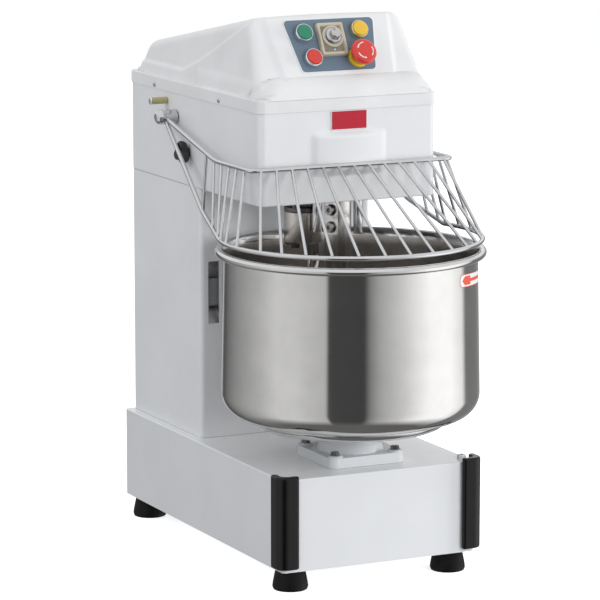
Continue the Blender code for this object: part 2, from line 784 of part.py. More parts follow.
def hook():
    """The spiral hook, its spindle, and what drives it."""
    hook_rod = solid("dough_hook", tube(spiral_path(), HOOK_ROD, 10), "stainless")
    radius = HOOK_HUB_RADIUS
    hub = [(0, HOOK_HUB_LOW), (radius - 0.0015, HOOK_HUB_LOW), (radius, HOOK_HUB_LOW + 0.0015)]
    hub += [(radius, HOOK_HUB_TOP - GAP), (0, HOOK_HUB_TOP - GAP)]
    join(hook_rod, lathe(hub, HOOK_X, HOOK_Y, 28))
    flange = [
        (0, HOOK_HUB_TOP),
        (radius, HOOK_HUB_TOP),
        (radius, HOOK_HUB_TOP + 0.007),
        (0.0185, HOOK_HUB_TOP + 0.007),
        (0.0185, 0.6150),
        (SPINDLE_RADIUS, 0.6150),
        (SPINDLE_RADIUS, 0.682),
        (0, 0.682),
    ]
    spindle = solid("hook_spindle", lathe(flange, HOOK_X, HOOK_Y, 24), "stainless")
    moving = [hook_rod, spindle]
    rim = HOOK_PULLEY
    pulley = [
        (SPINDLE_RADIUS + GAP, BELT_LOW - 0.003),
        (rim + 0.003, BELT_LOW - 0.003),
        (rim + 0.003, BELT_LOW - GAP),
        (rim, BELT_LOW - GAP),
        (rim, BELT_LOW + BELT_HEIGHT + GAP),
        (rim + 0.003, BELT_LOW + BELT_HEIGHT + GAP),
        (rim + 0.003, BELT_LOW + BELT_HEIGHT + 0.003),
        (SPINDLE_RADIUS + GAP, BELT_LOW + BELT_HEIGHT + 0.003),
    ]
    moving.append(solid("hook_pulley", lathe(pulley, HOOK_X, HOOK_Y, 32), "dark_steel"))
    sprocket = solid(
        "hook_sprocket",
        prism(toothed_outline(HOOK_X, HOOK_Y, HOOK_SPROCKET_TEETH), UPPER_CHAIN_LOW, UPPER_CHAIN_LOW + CHAIN_HEIGHT),
        "dark_steel",
    )
    cut(sprocket, cylinder(SPINDLE_RADIUS + GAP, *through(UPPER_CHAIN_LOW), HOOK_X, HOOK_Y))
    moving.append(sprocket)
    carried_by(axis_at("hook_axis", (HOOK_X, HOOK_Y, HOOK_HUB_TOP)), *moving)
    housing = [
        (0.0188, HEAD_LOW + SHEET + GAP),
        (0.045, HEAD_LOW + SHEET + GAP),
        (0.045, 0.572),
        (0.032, 0.574),
        (0.032, 0.612),
        (0.0188, 0.612),
    ]
    solid("hook_bearing", lathe(housing, HOOK_X, HOOK_Y, 24), "dark_steel")


def breaker_bar():
    """The round bar that the dough is pressed against, with a flat near its top for two screws."""
    bar = [(0, 0.262), (BAR_RADIUS - 0.004, 0.262), (BAR_RADIUS, 0.266)]
    bar += [(BAR_RADIUS, HEAD_LOW - GAP), (0, HEAD_LOW - GAP)]
    made = solid("breaker_bar", lathe(bar, 0, BAR_Y, 28), "stainless")
    facing = Matrix.Translation((0, BAR_Y, 0)) @ Matrix.Rotation(BAR_FLAT_TURN, 4, "Z")
    flat = block(BAR_FLAT_DEPTH, 2 * BAR_RADIUS, -BAR_RADIUS, BAR_RADIUS, BAR_FLAT_LOW, HEAD_LOW + SHEET)
    cut(made, placed(flat, facing))
    for name, height in (("upper", 0.546), ("lower", 0.520)):
        low = BAR_FLAT_DEPTH + GAP
        head = prism(circle(0, height, 0.0075, 16), low, low + 0.0065, "X")
        solid(f"breaker_screw_{name}", placed(head, facing), "dark_steel")
    for name, x, y in (("left", -0.013, -0.0535), ("right", 0.037, -0.092)):
        solid(f"bracket_post_{name}", cylinder(0.0070, BAR_FLAT_LOW - 0.005, HEAD_LOW - GAP, x, y, 16), "chrome")


# Guard

def guard_ring_point(degrees):
    turn = math.radians(degrees)
    return (GUARD_RING * math.cos(turn), BOWL_Y + GUARD_RING * math.sin(turn), GUARD_RING_Z)


def mirrored(points):
    return [(-x, y, z) for x, y, z in points]


def at_share(first, second, share):
    return tuple(Vector(first).lerp(Vector(second), share))


def guard_frame():
    """The wire basket: a top wire, a bottom ring over the bowl's rim, and bars between them."""
    hub = (-GUARD_ARM_X, GUARD_Y, GUARD_Z)
    top_bend = (-GUARD_EDGE, -0.0242, GUARD_TOP_Z)
    low_bend = (-0.172, 0.0145, 0.5384)
    ring_start = 163
    ring_end = guard_ring_point(ring_start)
    stand_off = (GUARD_HUB + GAP) * 1.02
    top_start = at_share(hub, top_bend, stand_off / math.dist(hub, top_bend))
    low_start = at_share(hub, low_bend, stand_off / math.dist(hub, low_bend))
    corner = 0.014
    edge = GUARD_EDGE
    rounded = [
        (x, y, GUARD_TOP_Z) for x, y in arc(-edge + corner, GUARD_FRONT + corner, corner, 180, 270, 4)
    ]
    left_top = [top_start, at_share(hub, top_bend, 0.96), at_share(top_bend, rounded[0], 0.06), *rounded]
    top_wire = left_top + mirrored(left_top)[::-1]
    ring_sweep = 540 - 2 * ring_start
    ring_points = [guard_ring_point(ring_start + ring_sweep * i / 30) for i in range(31)]
    low_wire = [low_start, low_bend, *ring_points, *mirrored([low_bend, low_start])]
    bars = []
    count = 13
    middle = (count - 1) / 2
    for i in range(count):
        x = 0.1518 * (i - middle) / middle
        bars.append(((x, GUARD_FRONT, GUARD_TOP_Z), guard_ring_point(270 + 11.4 * (i - middle))))
    side_bars = []
    top_places = [-0.1270 + 0.0268 * i for i in range(6)]
    low_ends = [guard_ring_point(degrees) for degrees in (185.3, 174, 164.5)]
    low_ends += [at_share(ring_end, low_bend, share) for share in (0.12, 0.41, 0.96)]
    for y, low_end in zip(top_places, low_ends):
        if y < top_bend[1]:
            top_end = (-edge, y, GUARD_TOP_Z)
        else:
            top_end = at_share(top_bend, hub, (y - top_bend[1]) / (GUARD_Y - top_bend[1]))
        side_bars.append((top_end, low_end))
    for first, second in side_bars:
        bars.append((first, second))
        bars.append(tuple(mirrored((first, second))))
    wires = bmesh.new()
    for first, second in bars:
        piece = tube((first, second), GUARD_BAR, 6)
        mesh = bpy.data.meshes.new("bar")
        piece.to_mesh(mesh)
        piece.free()
        wires.from_mesh(mesh)
        bpy.data.meshes.remove(mesh)
    frame = solid("guard_frame", tube(low_wire, GUARD_WIRE, 8), "chrome")
    join(frame, wires)
    join(frame, tube(top_wire, GUARD_WIRE, 8))
    return frame


def guard_hub(side, facing):
    """A domed hub outside the head, bored for the guard's axle."""
    near = HEAD_HALF + 0.0015
    profile = [
        (0, near + 0.0148),
        (0.0064, near + 0.0148),
        (0.0064, near),
        (GUARD_HUB, near),
        (GUARD_HUB, near + 0.026),
        (0.0103, near + 0.0300),
        (0.0060, near + 0.0330),
        (0, near + 0.0342),
    ]
    turned = Matrix.Translation((0, GUARD_Y, GUARD_Z)) @ Matrix.Rotation(facing * math.pi / 2, 4, "Y")
    return solid(f"guard_hub_{side}", placed(lathe(profile, sides=24), turned), "chrome")


def guard():
    reach = HEAD_HALF + 0.0135
    axle = solid("guard_axle", prism(circle(GUARD_Y, GUARD_Z, 0.0060, 16), -reach, reach, "X"), "dark_steel")
    pieces = [guard_frame(), guard_hub("left", -1), guard_hub("right", 1), axle]
    carried_by(axis_at("guard_axis", (0, GUARD_Y, GUARD_Z)), *pieces)


def guard_stop():
    """The peg that the open guard rests against, in a plastic sleeve."""
    y, z = 0.200, 0.6854
    face = -HEAD_HALF - GAP
    solid("stop_peg", prism(circle(y, z, 0.0043, 12), face - 0.0290, face, "X"), "chrome")
    sleeve = solid("stop_sleeve", prism(circle(y, z, 0.0054, 16), face - 0.0265, face - GAP, "X"), "yellow")
    cut(sleeve, prism(circle(y, z, 0.0046, 16), face - 0.0300, face + GAP, "X"))


# Drive

def motor():
    """The geared motor hangs under its plate in the column."""
    profile = [
        (0, 0.330),
        (0.052, 0.330),
        (0.066, 0.342),
        (0.066, 0.500),
        (0.058, 0.508),
        (0.058, 0.5447),
        (0, 0.5447),
    ]
    solid("motor", lathe(profile, MOTOR_X, MOTOR_Y, 28), "motor_paint")
    inset = SHEET + GAP
    plate = solid(
        "motor_plate",
        rounded_block(
            -COLUMN_HALF + inset,
            COLUMN_HALF - inset,
            COLUMN_FRONT + inset,
            CASING_REAR - inset,
            COLUMN_CORNER,
            0.545,
            0.551,
        ),
        "dark_steel",
    )
    cut(plate, cylinder(0.022, 0.540, 0.556, MOTOR_X, MOTOR_Y))
    cut(plate, cylinder(0.0125, 0.540, 0.556, LAYSHAFT_X, LAYSHAFT_Y))
    shaft = 0.0100
    rim = MOTOR_PULLEY
    pulley = [
        (0, 0.5450),
        (shaft, 0.5450),
        (shaft, BELT_LOW - 0.003),
        (rim + 0.003, BELT_LOW - 0.003),
        (rim + 0.003, BELT_LOW - GAP),
        (rim, BELT_LOW - GAP),
        (rim, BELT_LOW + BELT_HEIGHT + GAP),
        (rim + 0.003, BELT_LOW + BELT_HEIGHT + GAP),
        (rim + 0.003, BELT_LOW + BELT_HEIGHT + 0.003),
        (0, BELT_LOW + BELT_HEIGHT + 0.003),
    ]
    made = solid("motor_pulley", lathe(pulley, MOTOR_X, MOTOR_Y, 24), "dark_steel")
    carried_by(axis_at("motor_axis", (MOTOR_X, MOTOR_Y, BELT_LOW)), made)




def layshaft():
    """The upright shaft that takes the drive from the head down to the bowl, and its two bearings."""
    shaft = solid("layshaft", cylinder(LAYSHAFT_RADIUS, 0.082, 0.682, LAYSHAFT_X, LAYSHAFT_Y, 20), "dark_steel")
    pinion = toothed_outline(LAYSHAFT_X, LAYSHAFT_Y, LAYSHAFT_PINION_TEETH)
    join(shaft, prism(pinion, LOWER_CHAIN_LOW, LOWER_CHAIN_LOW + CHAIN_HEIGHT))
    wheel = solid(
        "layshaft_wheel",
        prism(
            toothed_outline(LAYSHAFT_X, LAYSHAFT_Y, LAYSHAFT_WHEEL_TEETH),
            UPPER_CHAIN_LOW,
            UPPER_CHAIN_LOW + CHAIN_HEIGHT,
        ),
        "dark_steel",
    )
    cut(wheel, cylinder(LAYSHAFT_RADIUS + GAP, *through(UPPER_CHAIN_LOW), LAYSHAFT_X, LAYSHAFT_Y, 20))
    carried_by(axis_at("layshaft_axis", (LAYSHAFT_X, LAYSHAFT_Y, UPPER_CHAIN_LOW)), shaft, wheel)
    for name, low in (("upper", 0.551 + GAP), ("lower", BASE_TOP + GAP)):
        bore = LAYSHAFT_RADIUS + GAP
        flange = [
            (bore, low),
            (0.030, low),
            (0.030, low + 0.006),
            (0.020, low + 0.008),
            (0.020, low + 0.018),
            (bore, low + 0.018),
        ]
        solid(f"layshaft_bearing_{name}", lathe(flange, LAYSHAFT_X, LAYSHAFT_Y, 20), "dark_steel")


def belts_and_chains():
    hook_at = (HOOK_X, HOOK_Y)
    layshaft_at = (LAYSHAFT_X, LAYSHAFT_Y)
    belt(
        "drive_belt",
        hook_at,
        HOOK_PULLEY,
        (MOTOR_X, MOTOR_Y),
        MOTOR_PULLEY,
        0.005,
        BELT_LOW,
        BELT_HEIGHT,
        "rubber",
    )
    belt(
        "transfer_chain",
        layshaft_at,
        sprocket_radius(LAYSHAFT_WHEEL_TEETH),
        hook_at,
        sprocket_radius(HOOK_SPROCKET_TEETH),
        0.004,
        UPPER_CHAIN_LOW,
        CHAIN_HEIGHT,
        "dark_steel",
    )
    belt(
        "bowl_chain",
        (0, BOWL_Y),
        sprocket_radius(BOWL_SPROCKET_TEETH),
        layshaft_at,
        sprocket_radius(LAYSHAFT_PINION_TEETH),
        0.004,
        LOWER_CHAIN_LOW,
        CHAIN_HEIGHT,
        "dark_steel",
    )


def electrics():
    low = 0.688 + GAP
    solid("electrical_box", block(-0.095, 0.095, 0.030, 0.150, low, 0.745), "black_plastic")


def build():
    clear_scene()
    base_housing()
    base_bottom_plate()
    feet()
    bumpers()
    cable_gland()
    column_housing()
    slot_liner()
    rear_cover()
    head_casing()
    head_top_plate()
    top_cover()
    control_plate()
    for name, (x, up, finish) in CONTROLS.items():
        push_button(name, x, up, finish)
    emergency_stop()
    timer()
    side_knob()
    bowl()
    bowl_support()
    hook()
    breaker_bar()
    guard()
    guard_stop()
    motor()
    layshaft()
    belts_and_chains()
    electrics()
    for made in bpy.context.scene.objects:
        if made.type == "MESH":
            made.data.shade_smooth()
            made.data.set_sharp_from_angle(angle=math.radians(35))


build()
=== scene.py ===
import json
import math

import bmesh
import bpy
import numpy as np
from mathutils import Matrix, Vector


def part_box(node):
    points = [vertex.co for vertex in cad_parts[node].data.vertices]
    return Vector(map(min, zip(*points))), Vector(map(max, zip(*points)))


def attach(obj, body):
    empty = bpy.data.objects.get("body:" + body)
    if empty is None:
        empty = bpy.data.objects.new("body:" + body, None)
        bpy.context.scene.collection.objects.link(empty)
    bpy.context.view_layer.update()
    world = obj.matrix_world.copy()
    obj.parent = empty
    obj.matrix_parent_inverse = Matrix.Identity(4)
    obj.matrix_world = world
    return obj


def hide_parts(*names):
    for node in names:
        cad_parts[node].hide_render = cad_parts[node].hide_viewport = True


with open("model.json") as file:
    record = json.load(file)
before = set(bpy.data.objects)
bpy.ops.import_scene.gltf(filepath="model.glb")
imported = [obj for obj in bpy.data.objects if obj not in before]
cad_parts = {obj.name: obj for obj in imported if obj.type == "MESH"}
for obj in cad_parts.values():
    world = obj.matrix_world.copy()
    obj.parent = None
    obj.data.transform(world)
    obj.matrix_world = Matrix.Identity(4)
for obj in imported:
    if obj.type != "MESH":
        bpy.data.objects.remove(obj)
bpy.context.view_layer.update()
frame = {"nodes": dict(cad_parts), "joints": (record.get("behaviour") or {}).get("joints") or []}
NODES = frame["nodes"]
JOINTS = {joint["name"]: joint for joint in frame["joints"]}


# ---------------------------------------------------------------- shapes

def arc(x, y, radius, start, end, steps):
    turns = (math.radians(start + (end - start) * i / steps) for i in range(steps + 1))
    return [(x + radius * math.cos(t), y + radius * math.sin(t)) for t in turns]


def polar(radius, degrees):
    turn = math.radians(degrees)
    return radius * math.cos(turn), radius * math.sin(turn)


def circle(x, y, radius, sides=48):
    return arc(x, y, radius, 0, 360, sides)[:-1]


def rounded_rectangle(left, right, near, far, radius, steps=6):
    corners = (
        (right - radius, near + radius, -90),
        (right - radius, far - radius, 0),
        (left + radius, far - radius, 90),
        (left + radius, near + radius, 180),
    )
    return [p for x, y, turn in corners for p in arc(x, y, radius, turn, turn + 90, steps)]


def skinned(loops, capped=False, closed=False):
    """A skin over rings of points. Its ends are capped, or its last ring joins its first."""
    shape = bmesh.new()
    rings = [[shape.verts.new(p) for p in loop] for loop in loops]
    if capped:
        shape.faces.new(rings[0])
        shape.faces.new(rings[-1])
    nexts = rings[1:] + rings[:1] if closed else rings[1:]
    for first, second in zip(rings, nexts):
        for i in range(len(first)):
            after = (i + 1) % len(first)
            shape.faces.new((first[i], first[after], second[after], second[i]))
    bmesh.ops.recalc_face_normals(shape, faces=shape.faces)
    return shape


def prism(outline, low, high, axis="Z"):
    place = {
        "Z": lambda u, v, w: (u, v, w),
        "Y": lambda u, v, w: (u, w, v),
        "X": lambda u, v, w: (w, u, v),
    }[axis]
    return skinned([[place(u, v, w) for u, v in outline] for w in (low, high)], capped=True)


def block(x, y, z):
    """A box from its (low, high) along each axis."""
    return prism([(x[0], y[0]), (x[1], y[0]), (x[1], y[1]), (x[0], y[1])], *z)


def lathe(profile, x=0.0, y=0.0, sides=64):
    """Turns (radius, height) points about an upright line. Ends on the line close the body."""
    shape = bmesh.new()
    rings = []
    for radius, height in profile:
        if radius < 1e-7:
            rings.append([shape.verts.new((x, y, height))] * sides)
        else:
            rings.append([shape.verts.new((*p, height)) for p in circle(x, y, radius, sides)])
    closed = profile[0][0] > 1e-7
    for i in range(len(rings) - 1 + closed):
        first, second = rings[i], rings[(i + 1) % len(rings)]
        for j in range(sides):
            after = (j + 1) % sides
            corners = (first[j], first[after], second[after], second[j])
            shape.faces.new(list(dict.fromkeys(corners)))
    bmesh.ops.recalc_face_normals(shape, faces=shape.faces)
    return shape


def rounded_profile(points, radii, steps=4):
    """Rounds the corners of an open line of (radius, height) points, each by its own radius."""
    out = [points[0]]
    for before, here, after, radius in zip(points, points[1:], points[2:], radii):
        if radius <= 0:
            out.append(here)
            continue
        h = Vector(here)
        back, on = Vector(before) - h, Vector(after) - h
        a, b = back.normalized(), on.normalized()
        reach = min(radius / math.tan(a.angle(b) / 2), 0.49 * back.length, 0.49 * on.length)
        for i in range(steps + 1):
            t = i / steps
            out.append(tuple(h + a * reach * (1 - t) ** 2 + b * reach * t**2))
    out.append(points[-1])
    return out


def turned(points, radii, x=0.0, y=0.0, sides=64, steps=4):
    return lathe(rounded_profile(points, radii, steps), x, y, sides)


def drum(radius, low, high, x=0.0, y=0.0, sides=64, rounding=(0, 0), steps=4):
    """An upright disc or rod, its lower and its upper rim rounded."""
    return turned([(0, low), (radius, low), (radius, high), (0, high)], rounding, x, y, sides, steps)


def rounded_path(points, radius, steps=6):
    """A 3-D line of points with its inner corners rounded by quadratic curves."""
    points = [Vector(p) for p in points]
    out = [points[0]]
    for before, here, after in zip(points, points[1:], points[2:]):
        a, b = before - here, after - here
        reach = min(radius, 0.45 * a.length, 0.45 * b.length)
        if a.normalized().dot(b.normalized()) < -0.9995:
            out.append(here)
            continue
        a, b = a.normalized() * reach, b.normalized() * reach
        for i in range(steps + 1):
            t = i / steps
            out.append(here + a * (1 - t) ** 2 + b * t**2)
    out.append(points[-1])
    return out


def tube(points, radius, sides=16, taper=None):
    """A round wire with flat ends along a line of points."""
    points = [Vector(p) for p in points]
    across = (points[1] - points[0]).orthogonal().normalized()
    turns = [math.tau * j / sides for j in range(sides)]
    last = len(points) - 1
    loops = []
    for i, point in enumerate(points):
        along = (points[min(i + 1, last)] - points[max(i - 1, 0)]).normalized()
        across = (across - along * across.dot(along)).normalized()
        up = along.cross(across)
        size = radius if taper is None else radius * taper(i / last)
        loops.append([point + size * (math.cos(t) * across + math.sin(t) * up) for t in turns])
    return skinned(loops, capped=True)


def placed(shape, matrix):
    bmesh.ops.transform(shape, matrix=matrix, verts=shape.verts)
    return shape


def sideways(x, y, z, facing=-1):
    """Lays an upright shape on its side, so that its top faces left (-1) or right (1)."""
    return Matrix.Translation((x, y, z)) @ Matrix.Rotation(facing * math.pi / 2, 4, "Y")


def level_edges(shape, axis, *levels):
    """The edges that lie wholly at one of the levels along an axis."""
    return [
        edge
        for edge in shape.edges
        if any(all(abs(v.co[axis] - level) < 1e-6 for v in edge.verts) for level in levels)
    ]


def bevelled(shape, edges, offset, segments, **more):
    bmesh.ops.bevel(shape, geom=edges, offset=offset, segments=segments, affect="EDGES", **more)
    return shape


def merged(*shapes):
    """One bmesh that holds several loose shapes."""
    whole = bmesh.new()
    for shape in shapes:
        mesh = bpy.data.meshes.new("part")
        shape.to_mesh(mesh)
        shape.free()
        whole.from_mesh(mesh)
        bpy.data.meshes.remove(mesh)
    return whole


def as_object(name, shape):
    mesh = bpy.data.meshes.new(name)
    shape.to_mesh(mesh)
    shape.free()
    made = bpy.data.objects.new(name, mesh)
    bpy.context.scene.collection.objects.link(made)
    return made


def evaluated(source):
    """A new mesh of the object with its modifiers applied."""
    bpy.context.view_layer.update()
    graph = bpy.context.evaluated_depsgraph_get()
    return bpy.data.meshes.new_from_object(source.evaluated_get(graph))


def baked(target):
    """Applies the object's modifiers to its mesh."""
    shaped = evaluated(target)
    target.modifiers.clear()
    old = target.data
    target.data = shaped
    shaped.name = old.name
    bpy.data.meshes.remove(old)


def combine(target, shape, operation="DIFFERENCE"):
    """A Boolean of the shape on the target, applied at once."""
    tool = as_object("tool", shape)
    modifier = target.modifiers.new("cut", "BOOLEAN")
    modifier.operation = operation
    modifier.solver = "EXACT"
    modifier.object = tool
    baked(target)
    bpy.data.objects.remove(tool)
    return target


def painted(mesh, material, sharp):
    mesh.materials.clear()
    mesh.materials.append(material)
    for polygon in mesh.polygons:
        polygon.material_index = 0
    mesh.shade_smooth()
    mesh.set_sharp_from_angle(angle=math.radians(sharp))


def attached(target, body, node):
    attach(target, body)
    if node:
        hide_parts(node)


def settle(target, material, body="stand", node=None, slot=None, angle=35, edge=0.0, segments=2):
    """Finishes a piece: material, soft edges, shading, its body, and the node that it replaces."""
    if edge:
        bevel = target.modifiers.new("edges", "BEVEL")
        bevel.width = edge
        bevel.segments = segments
        bevel.limit_method = "ANGLE"
        bevel.angle_limit = math.radians(angle)
        bevel.harden_normals = False
    painted(target.data, material, 60 if edge else angle)
    weighted = target.modifiers.new("normals", "WEIGHTED_NORMAL")
    weighted.keep_sharp = True
    attached(target, body, node)
    return target


def piece(name, shape, material, body="stand", **more):
    return settle(as_object(name, shape), material, body, **more)


# ---------------------------------------------------------------- materials

class Tree:
    """A short way to build a node tree."""

    def __init__(self, tree):
        self.tree = tree

    def add(self, kind, **settings):
        node = self.tree.nodes.new(kind)
        for key, value in settings.items():
            setattr(node, key, value)
        return node

    def link(self, out, into):
        self.tree.links.new(out, into)

    def feed(self, socket, value):
        """Links another node's output, or sets a plain value."""
        if isinstance(value, bpy.types.NodeSocket):
            self.link(value, socket)
        else:
            socket.default_value = value

    def math(self, operation, *values, clamp=False):
        node = self.add("ShaderNodeMath", operation=operation, use_clamp=clamp)
        for socket, value in zip(node.inputs, values):
            self.feed(socket, value)
        return node.outputs[0]

    def mix(self, factor, first, second):
        node = self.add("ShaderNodeMix", data_type="RGBA")
        for key, value in (("Factor", factor), ("A", first), ("B", second)):
            self.feed(node.inputs[key], value)
        return node.outputs["Result"]

    def ramp(self, value, *stops):
        node = self.add("ShaderNodeValToRGB")
        elements = node.color_ramp.elements
        while len(elements) < len(stops):
            elements.new(0.5)
        for element, (position, colour) in zip(elements, stops):
            element.position = position
            element.color = (*colour, 1)
        self.link(value, node.inputs["Fac"])
        return node.outputs["Color"]


class Surface(Tree):
    """A new material with its node tree."""

    def __init__(self, name):
        self.material = bpy.data.materials.new(name)
        self.material.use_nodes = True
        super().__init__(self.material.node_tree)
        self.shader = self.tree.nodes["Principled BSDF"]
        self.place = self.add("ShaderNodeTexCoord").outputs["Object"]

    def stretched(self, scale):
        node = self.add("ShaderNodeMapping")
        node.inputs["Scale"].default_value = scale
        self.link(self.place, node.inputs["Vector"])
        return node.outputs["Vector"]

    def noise(self, scale, detail=2.0, roughness=0.5, stretch=None):
        node = self.add("ShaderNodeTexNoise")
        for key, value in (("Scale", scale), ("Detail", detail), ("Roughness", roughness)):
            node.inputs[key].default_value = value
        self.link(self.stretched(stretch) if stretch else self.place, node.inputs["Vector"])
        return node.outputs["Fac"]

    def colour(self, value, *stops):
        self.link(self.ramp(value, *stops), self.shader.inputs["Base Color"])

    def roughness(self, value, low, high, smooth, dull):
        node = self.add("ShaderNodeMapRange")
        for key, number in (("From Min", low), ("From Max", high), ("To Min", smooth), ("To Max", dull)):
            node.inputs[key].default_value = number
        self.link(value, node.inputs["Value"])
        self.link(node.outputs["Result"], self.shader.inputs["Roughness"])

    def bump(self, height, distance, strength, under=None):
        node = self.add("ShaderNodeBump")
        node.inputs["Distance"].default_value = distance
        node.inputs["Strength"].default_value = strength
        self.link(height, node.inputs["Height"])
        if under:
            self.link(under, node.inputs["Normal"])
        self.link(node.outputs["Normal"], self.shader.inputs["Normal"])
        return node.outputs["Normal"]

    def set(self, **values):
        for key, value in values.items():
            self.shader.inputs[key.replace("_", " ")].default_value = value


def tinted(colour, share):
    return tuple(min(1.0, channel * share) for channel in colour)


def enamel(name, colour, roughness=0.34, peel=0.00006, coat=0.12):
    """Sprayed powder coat: fine orange peel, faint drift of tone, a few duller patches."""
    n = Surface(name)
    n.colour(n.noise(9.0, 3.0), (0.30, tinted(colour, 0.965)), (0.70, tinted(colour, 1.02)))
    n.roughness(n.noise(38.0, 4.0), 0.3, 0.7, roughness - 0.06, roughness + 0.07)
    fine = n.bump(n.noise(900.0), peel, 0.35)
    n.bump(n.noise(160.0), peel * 2.5, 0.30, under=fine)
    n.set(Specular_IOR_Level=0.45, Coat_Weight=coat, Coat_Roughness=0.12)
    return n.material


def moulded(name, colour, roughness=0.38, grain=1500.0, depth=0.00004, coat=0.0, gloss=0.5):
    """Injection-moulded plastic with a fine texture and slight changes of gloss."""
    n = Surface(name)
    n.colour(n.noise(14.0, 3.0), (0.30, tinted(colour, 0.955)), (0.72, tinted(colour, 1.03)))
    n.roughness(n.noise(60.0, 4.0), 0.3, 0.7, roughness - 0.05, roughness + 0.07)
    fine = n.bump(n.noise(grain), depth, 0.4)
    n.bump(n.noise(45.0), 0.00012, 0.16, under=fine)
    n.set(Specular_IOR_Level=gloss, Coat_Weight=coat, Coat_Roughness=0.08)
    return n.material


def metal(name, colour, roughness, scratch, depth, spread, cast=0.0):
    """Worked metal: fine lines along one way, smudges in the gloss, and a faint change of tone."""
    n = Surface(name)
    lines = n.noise(1.0, 3.0, 0.6, stretch=scratch)
    smudge = n.noise(22.0, 4.0)
    mixed = n.math("ADD", n.math("MULTIPLY", lines, 0.5), n.math("MULTIPLY", smudge, 0.5))
    n.roughness(mixed, 0.32, 0.68, max(0.02, roughness - spread), roughness + spread)
    n.colour(smudge, (0.30, tinted(colour, 0.94)), (0.72, tinted(colour, 1.04)))
    low = n.bump(lines, depth, 0.5)
    if cast:
        n.bump(n.noise(420.0, 3.0), cast, 0.6, under=low)
    n.set(Metallic=1.0)
    return n.material


def rubbery(name, colour, roughness=0.5, grain=0.00005, gloss=0.2):
    n = Surface(name)
    n.colour(n.noise(50.0, 4.0), (0.3, tinted(colour, 0.8)), (0.7, tinted(colour, 1.35)))
    n.roughness(n.noise(120.0, 3.0), 0.3, 0.7, roughness - 0.08, roughness + 0.08)
    n.bump(n.noise(2200.0), grain, 0.5)
    n.set(Specular_IOR_Level=gloss)
    return n.material


def glossy(name, colour, roughness, coat):
    """The plastic of the buttons and the timer."""
    return moulded(name, colour, roughness, depth=0.00002, coat=coat)


WHITE = (0.80, 0.81, 0.82)
BRUSHED = (6.0, 6.0, 1500.0)
EVEN = (300.0, 300.0, 300.0)
SPUN = (200.0, 200.0, 900.0)
enamel_white = enamel("enamel_white", WHITE)
enamel_inner = enamel("enamel_inner", (0.62, 0.63, 0.65), 0.45)
slot_grey = enamel("slot_grey", (0.27, 0.27, 0.275), 0.40)
base_white = enamel("base_white", WHITE, 0.15, 0.00003, coat=0.5)
casting_white = enamel("casting_white", (0.74, 0.76, 0.78), 0.36, 0.00022)
motor_enamel = enamel("motor_enamel", (0.10, 0.14, 0.18), 0.4, 0.0002)
cover_white = moulded("cover_white", (0.80, 0.805, 0.81), 0.34, 1400.0, 0.00003, gloss=0.25)
bowl_steel = metal("bowl_steel", (0.652, 0.646, 0.640), 0.085, BRUSHED, 0.000008, 0.02)
bowl_inside = metal("bowl_inside", (0.66, 0.63, 0.60), 0.30, BRUSHED, 0.000010, 0.05)
bar_steel = metal("bar_steel", (0.68, 0.665, 0.65), 0.12, (10.0, 10.0, 1200.0), 0.000012, 0.04)
hook_steel = metal("hook_steel", (0.58, 0.55, 0.52), 0.17, (60.0, 60.0, 500.0), 0.000020, 0.05)
chrome = metal("chrome_wire", (0.62, 0.62, 0.63), 0.050, EVEN, 0.000006, 0.03)
ring_chrome = metal("ring_chrome", (0.78, 0.79, 0.80), 0.12, SPUN, 0.000010, 0.04)
jog_chrome = metal("jog_ring", (0.86, 0.77, 0.52), 0.16, SPUN, 0.000010, 0.04)
knob_silver = metal("knob_silver", (0.56, 0.55, 0.56), 0.20, (300.0, 300.0, 900.0), 0.00001, 0.06)
dial_grey = metal("dial_grey", (0.42, 0.42, 0.42), 0.30, (700.0, 20.0, 20.0), 0.00002, 0.08)
# Dark steel of the screws, nuts and bolts; on the hook's flange its darkness is painted shade.
screw_steel_and_shade = metal("screw_steel_and_shade", (0.16, 0.15, 0.15), 0.32, EVEN, 0.000020, 0.08)
bright_screw = metal("bright_screw", (0.45, 0.44, 0.43), 0.26, EVEN, 0.000020, 0.08)
drive_steel = metal("drive_steel", (0.30, 0.29, 0.28), 0.38, (50.0, 50.0, 700.0), 0.000030, 0.08, 0.00005)
liner_steel = metal("liner_steel", (0.62, 0.61, 0.61), 0.42, (600.0, 30.0, 30.0), 0.000030, 0.08)
rubber = rubbery("rubber", (0.0055, 0.0048, 0.0048), 0.40, gloss=0.15)
bumper_rubber = rubbery("bumper_rubber", (0.0050, 0.0040, 0.0038), 0.17, 0.00001, 0.28)
belt_rubber = rubbery("belt_rubber", (0.02, 0.02, 0.02), 0.65)
black_plastic = moulded("black_plastic", (0.012, 0.012, 0.013), 0.30, 1200.0, coat=0.2)
black_box = moulded("black_box", (0.03, 0.03, 0.032), 0.5)
panel_blue = moulded("panel_blue", (0.135, 0.190, 0.250), 0.42, 2200.0, 0.00003)
panel_edge = moulded("panel_edge", (0.86, 0.87, 0.88), 0.35)
green = glossy("green_plastic", (0.006, 0.225, 0.120), 0.28, 0.4)
red = glossy("red_plastic", (0.66, 0.035, 0.025), 0.28, 0.4)
yellow = glossy("yellow_plastic", (0.80, 0.50, 0.030), 0.30, 0.3)
collar_yellow = glossy("collar_yellow", (0.86, 0.60, 0.01), 0.32, 0.2)
beige = glossy("beige_frame", (0.60, 0.54, 0.42), 0.36, 0.2)
beige_dark = moulded("beige_dark", (0.25, 0.225, 0.17), 0.42)
arrow_white = moulded("arrow_white", (0.84, 0.82, 0.80), 0.4)
badge_red = moulded("badge_red", (0.46, 0.006, 0.026), 0.34, 900.0, 0.00002)
sleeve_yellow = moulded("sleeve_yellow", (0.50, 0.44, 0.20), 0.42, 700.0, 0.00005)
sticker_red = moulded("sticker_red", (0.80, 0.10, 0.06), 0.4)
sticker_white = moulded("sticker_white", (0.86, 0.86, 0.85), 0.4)
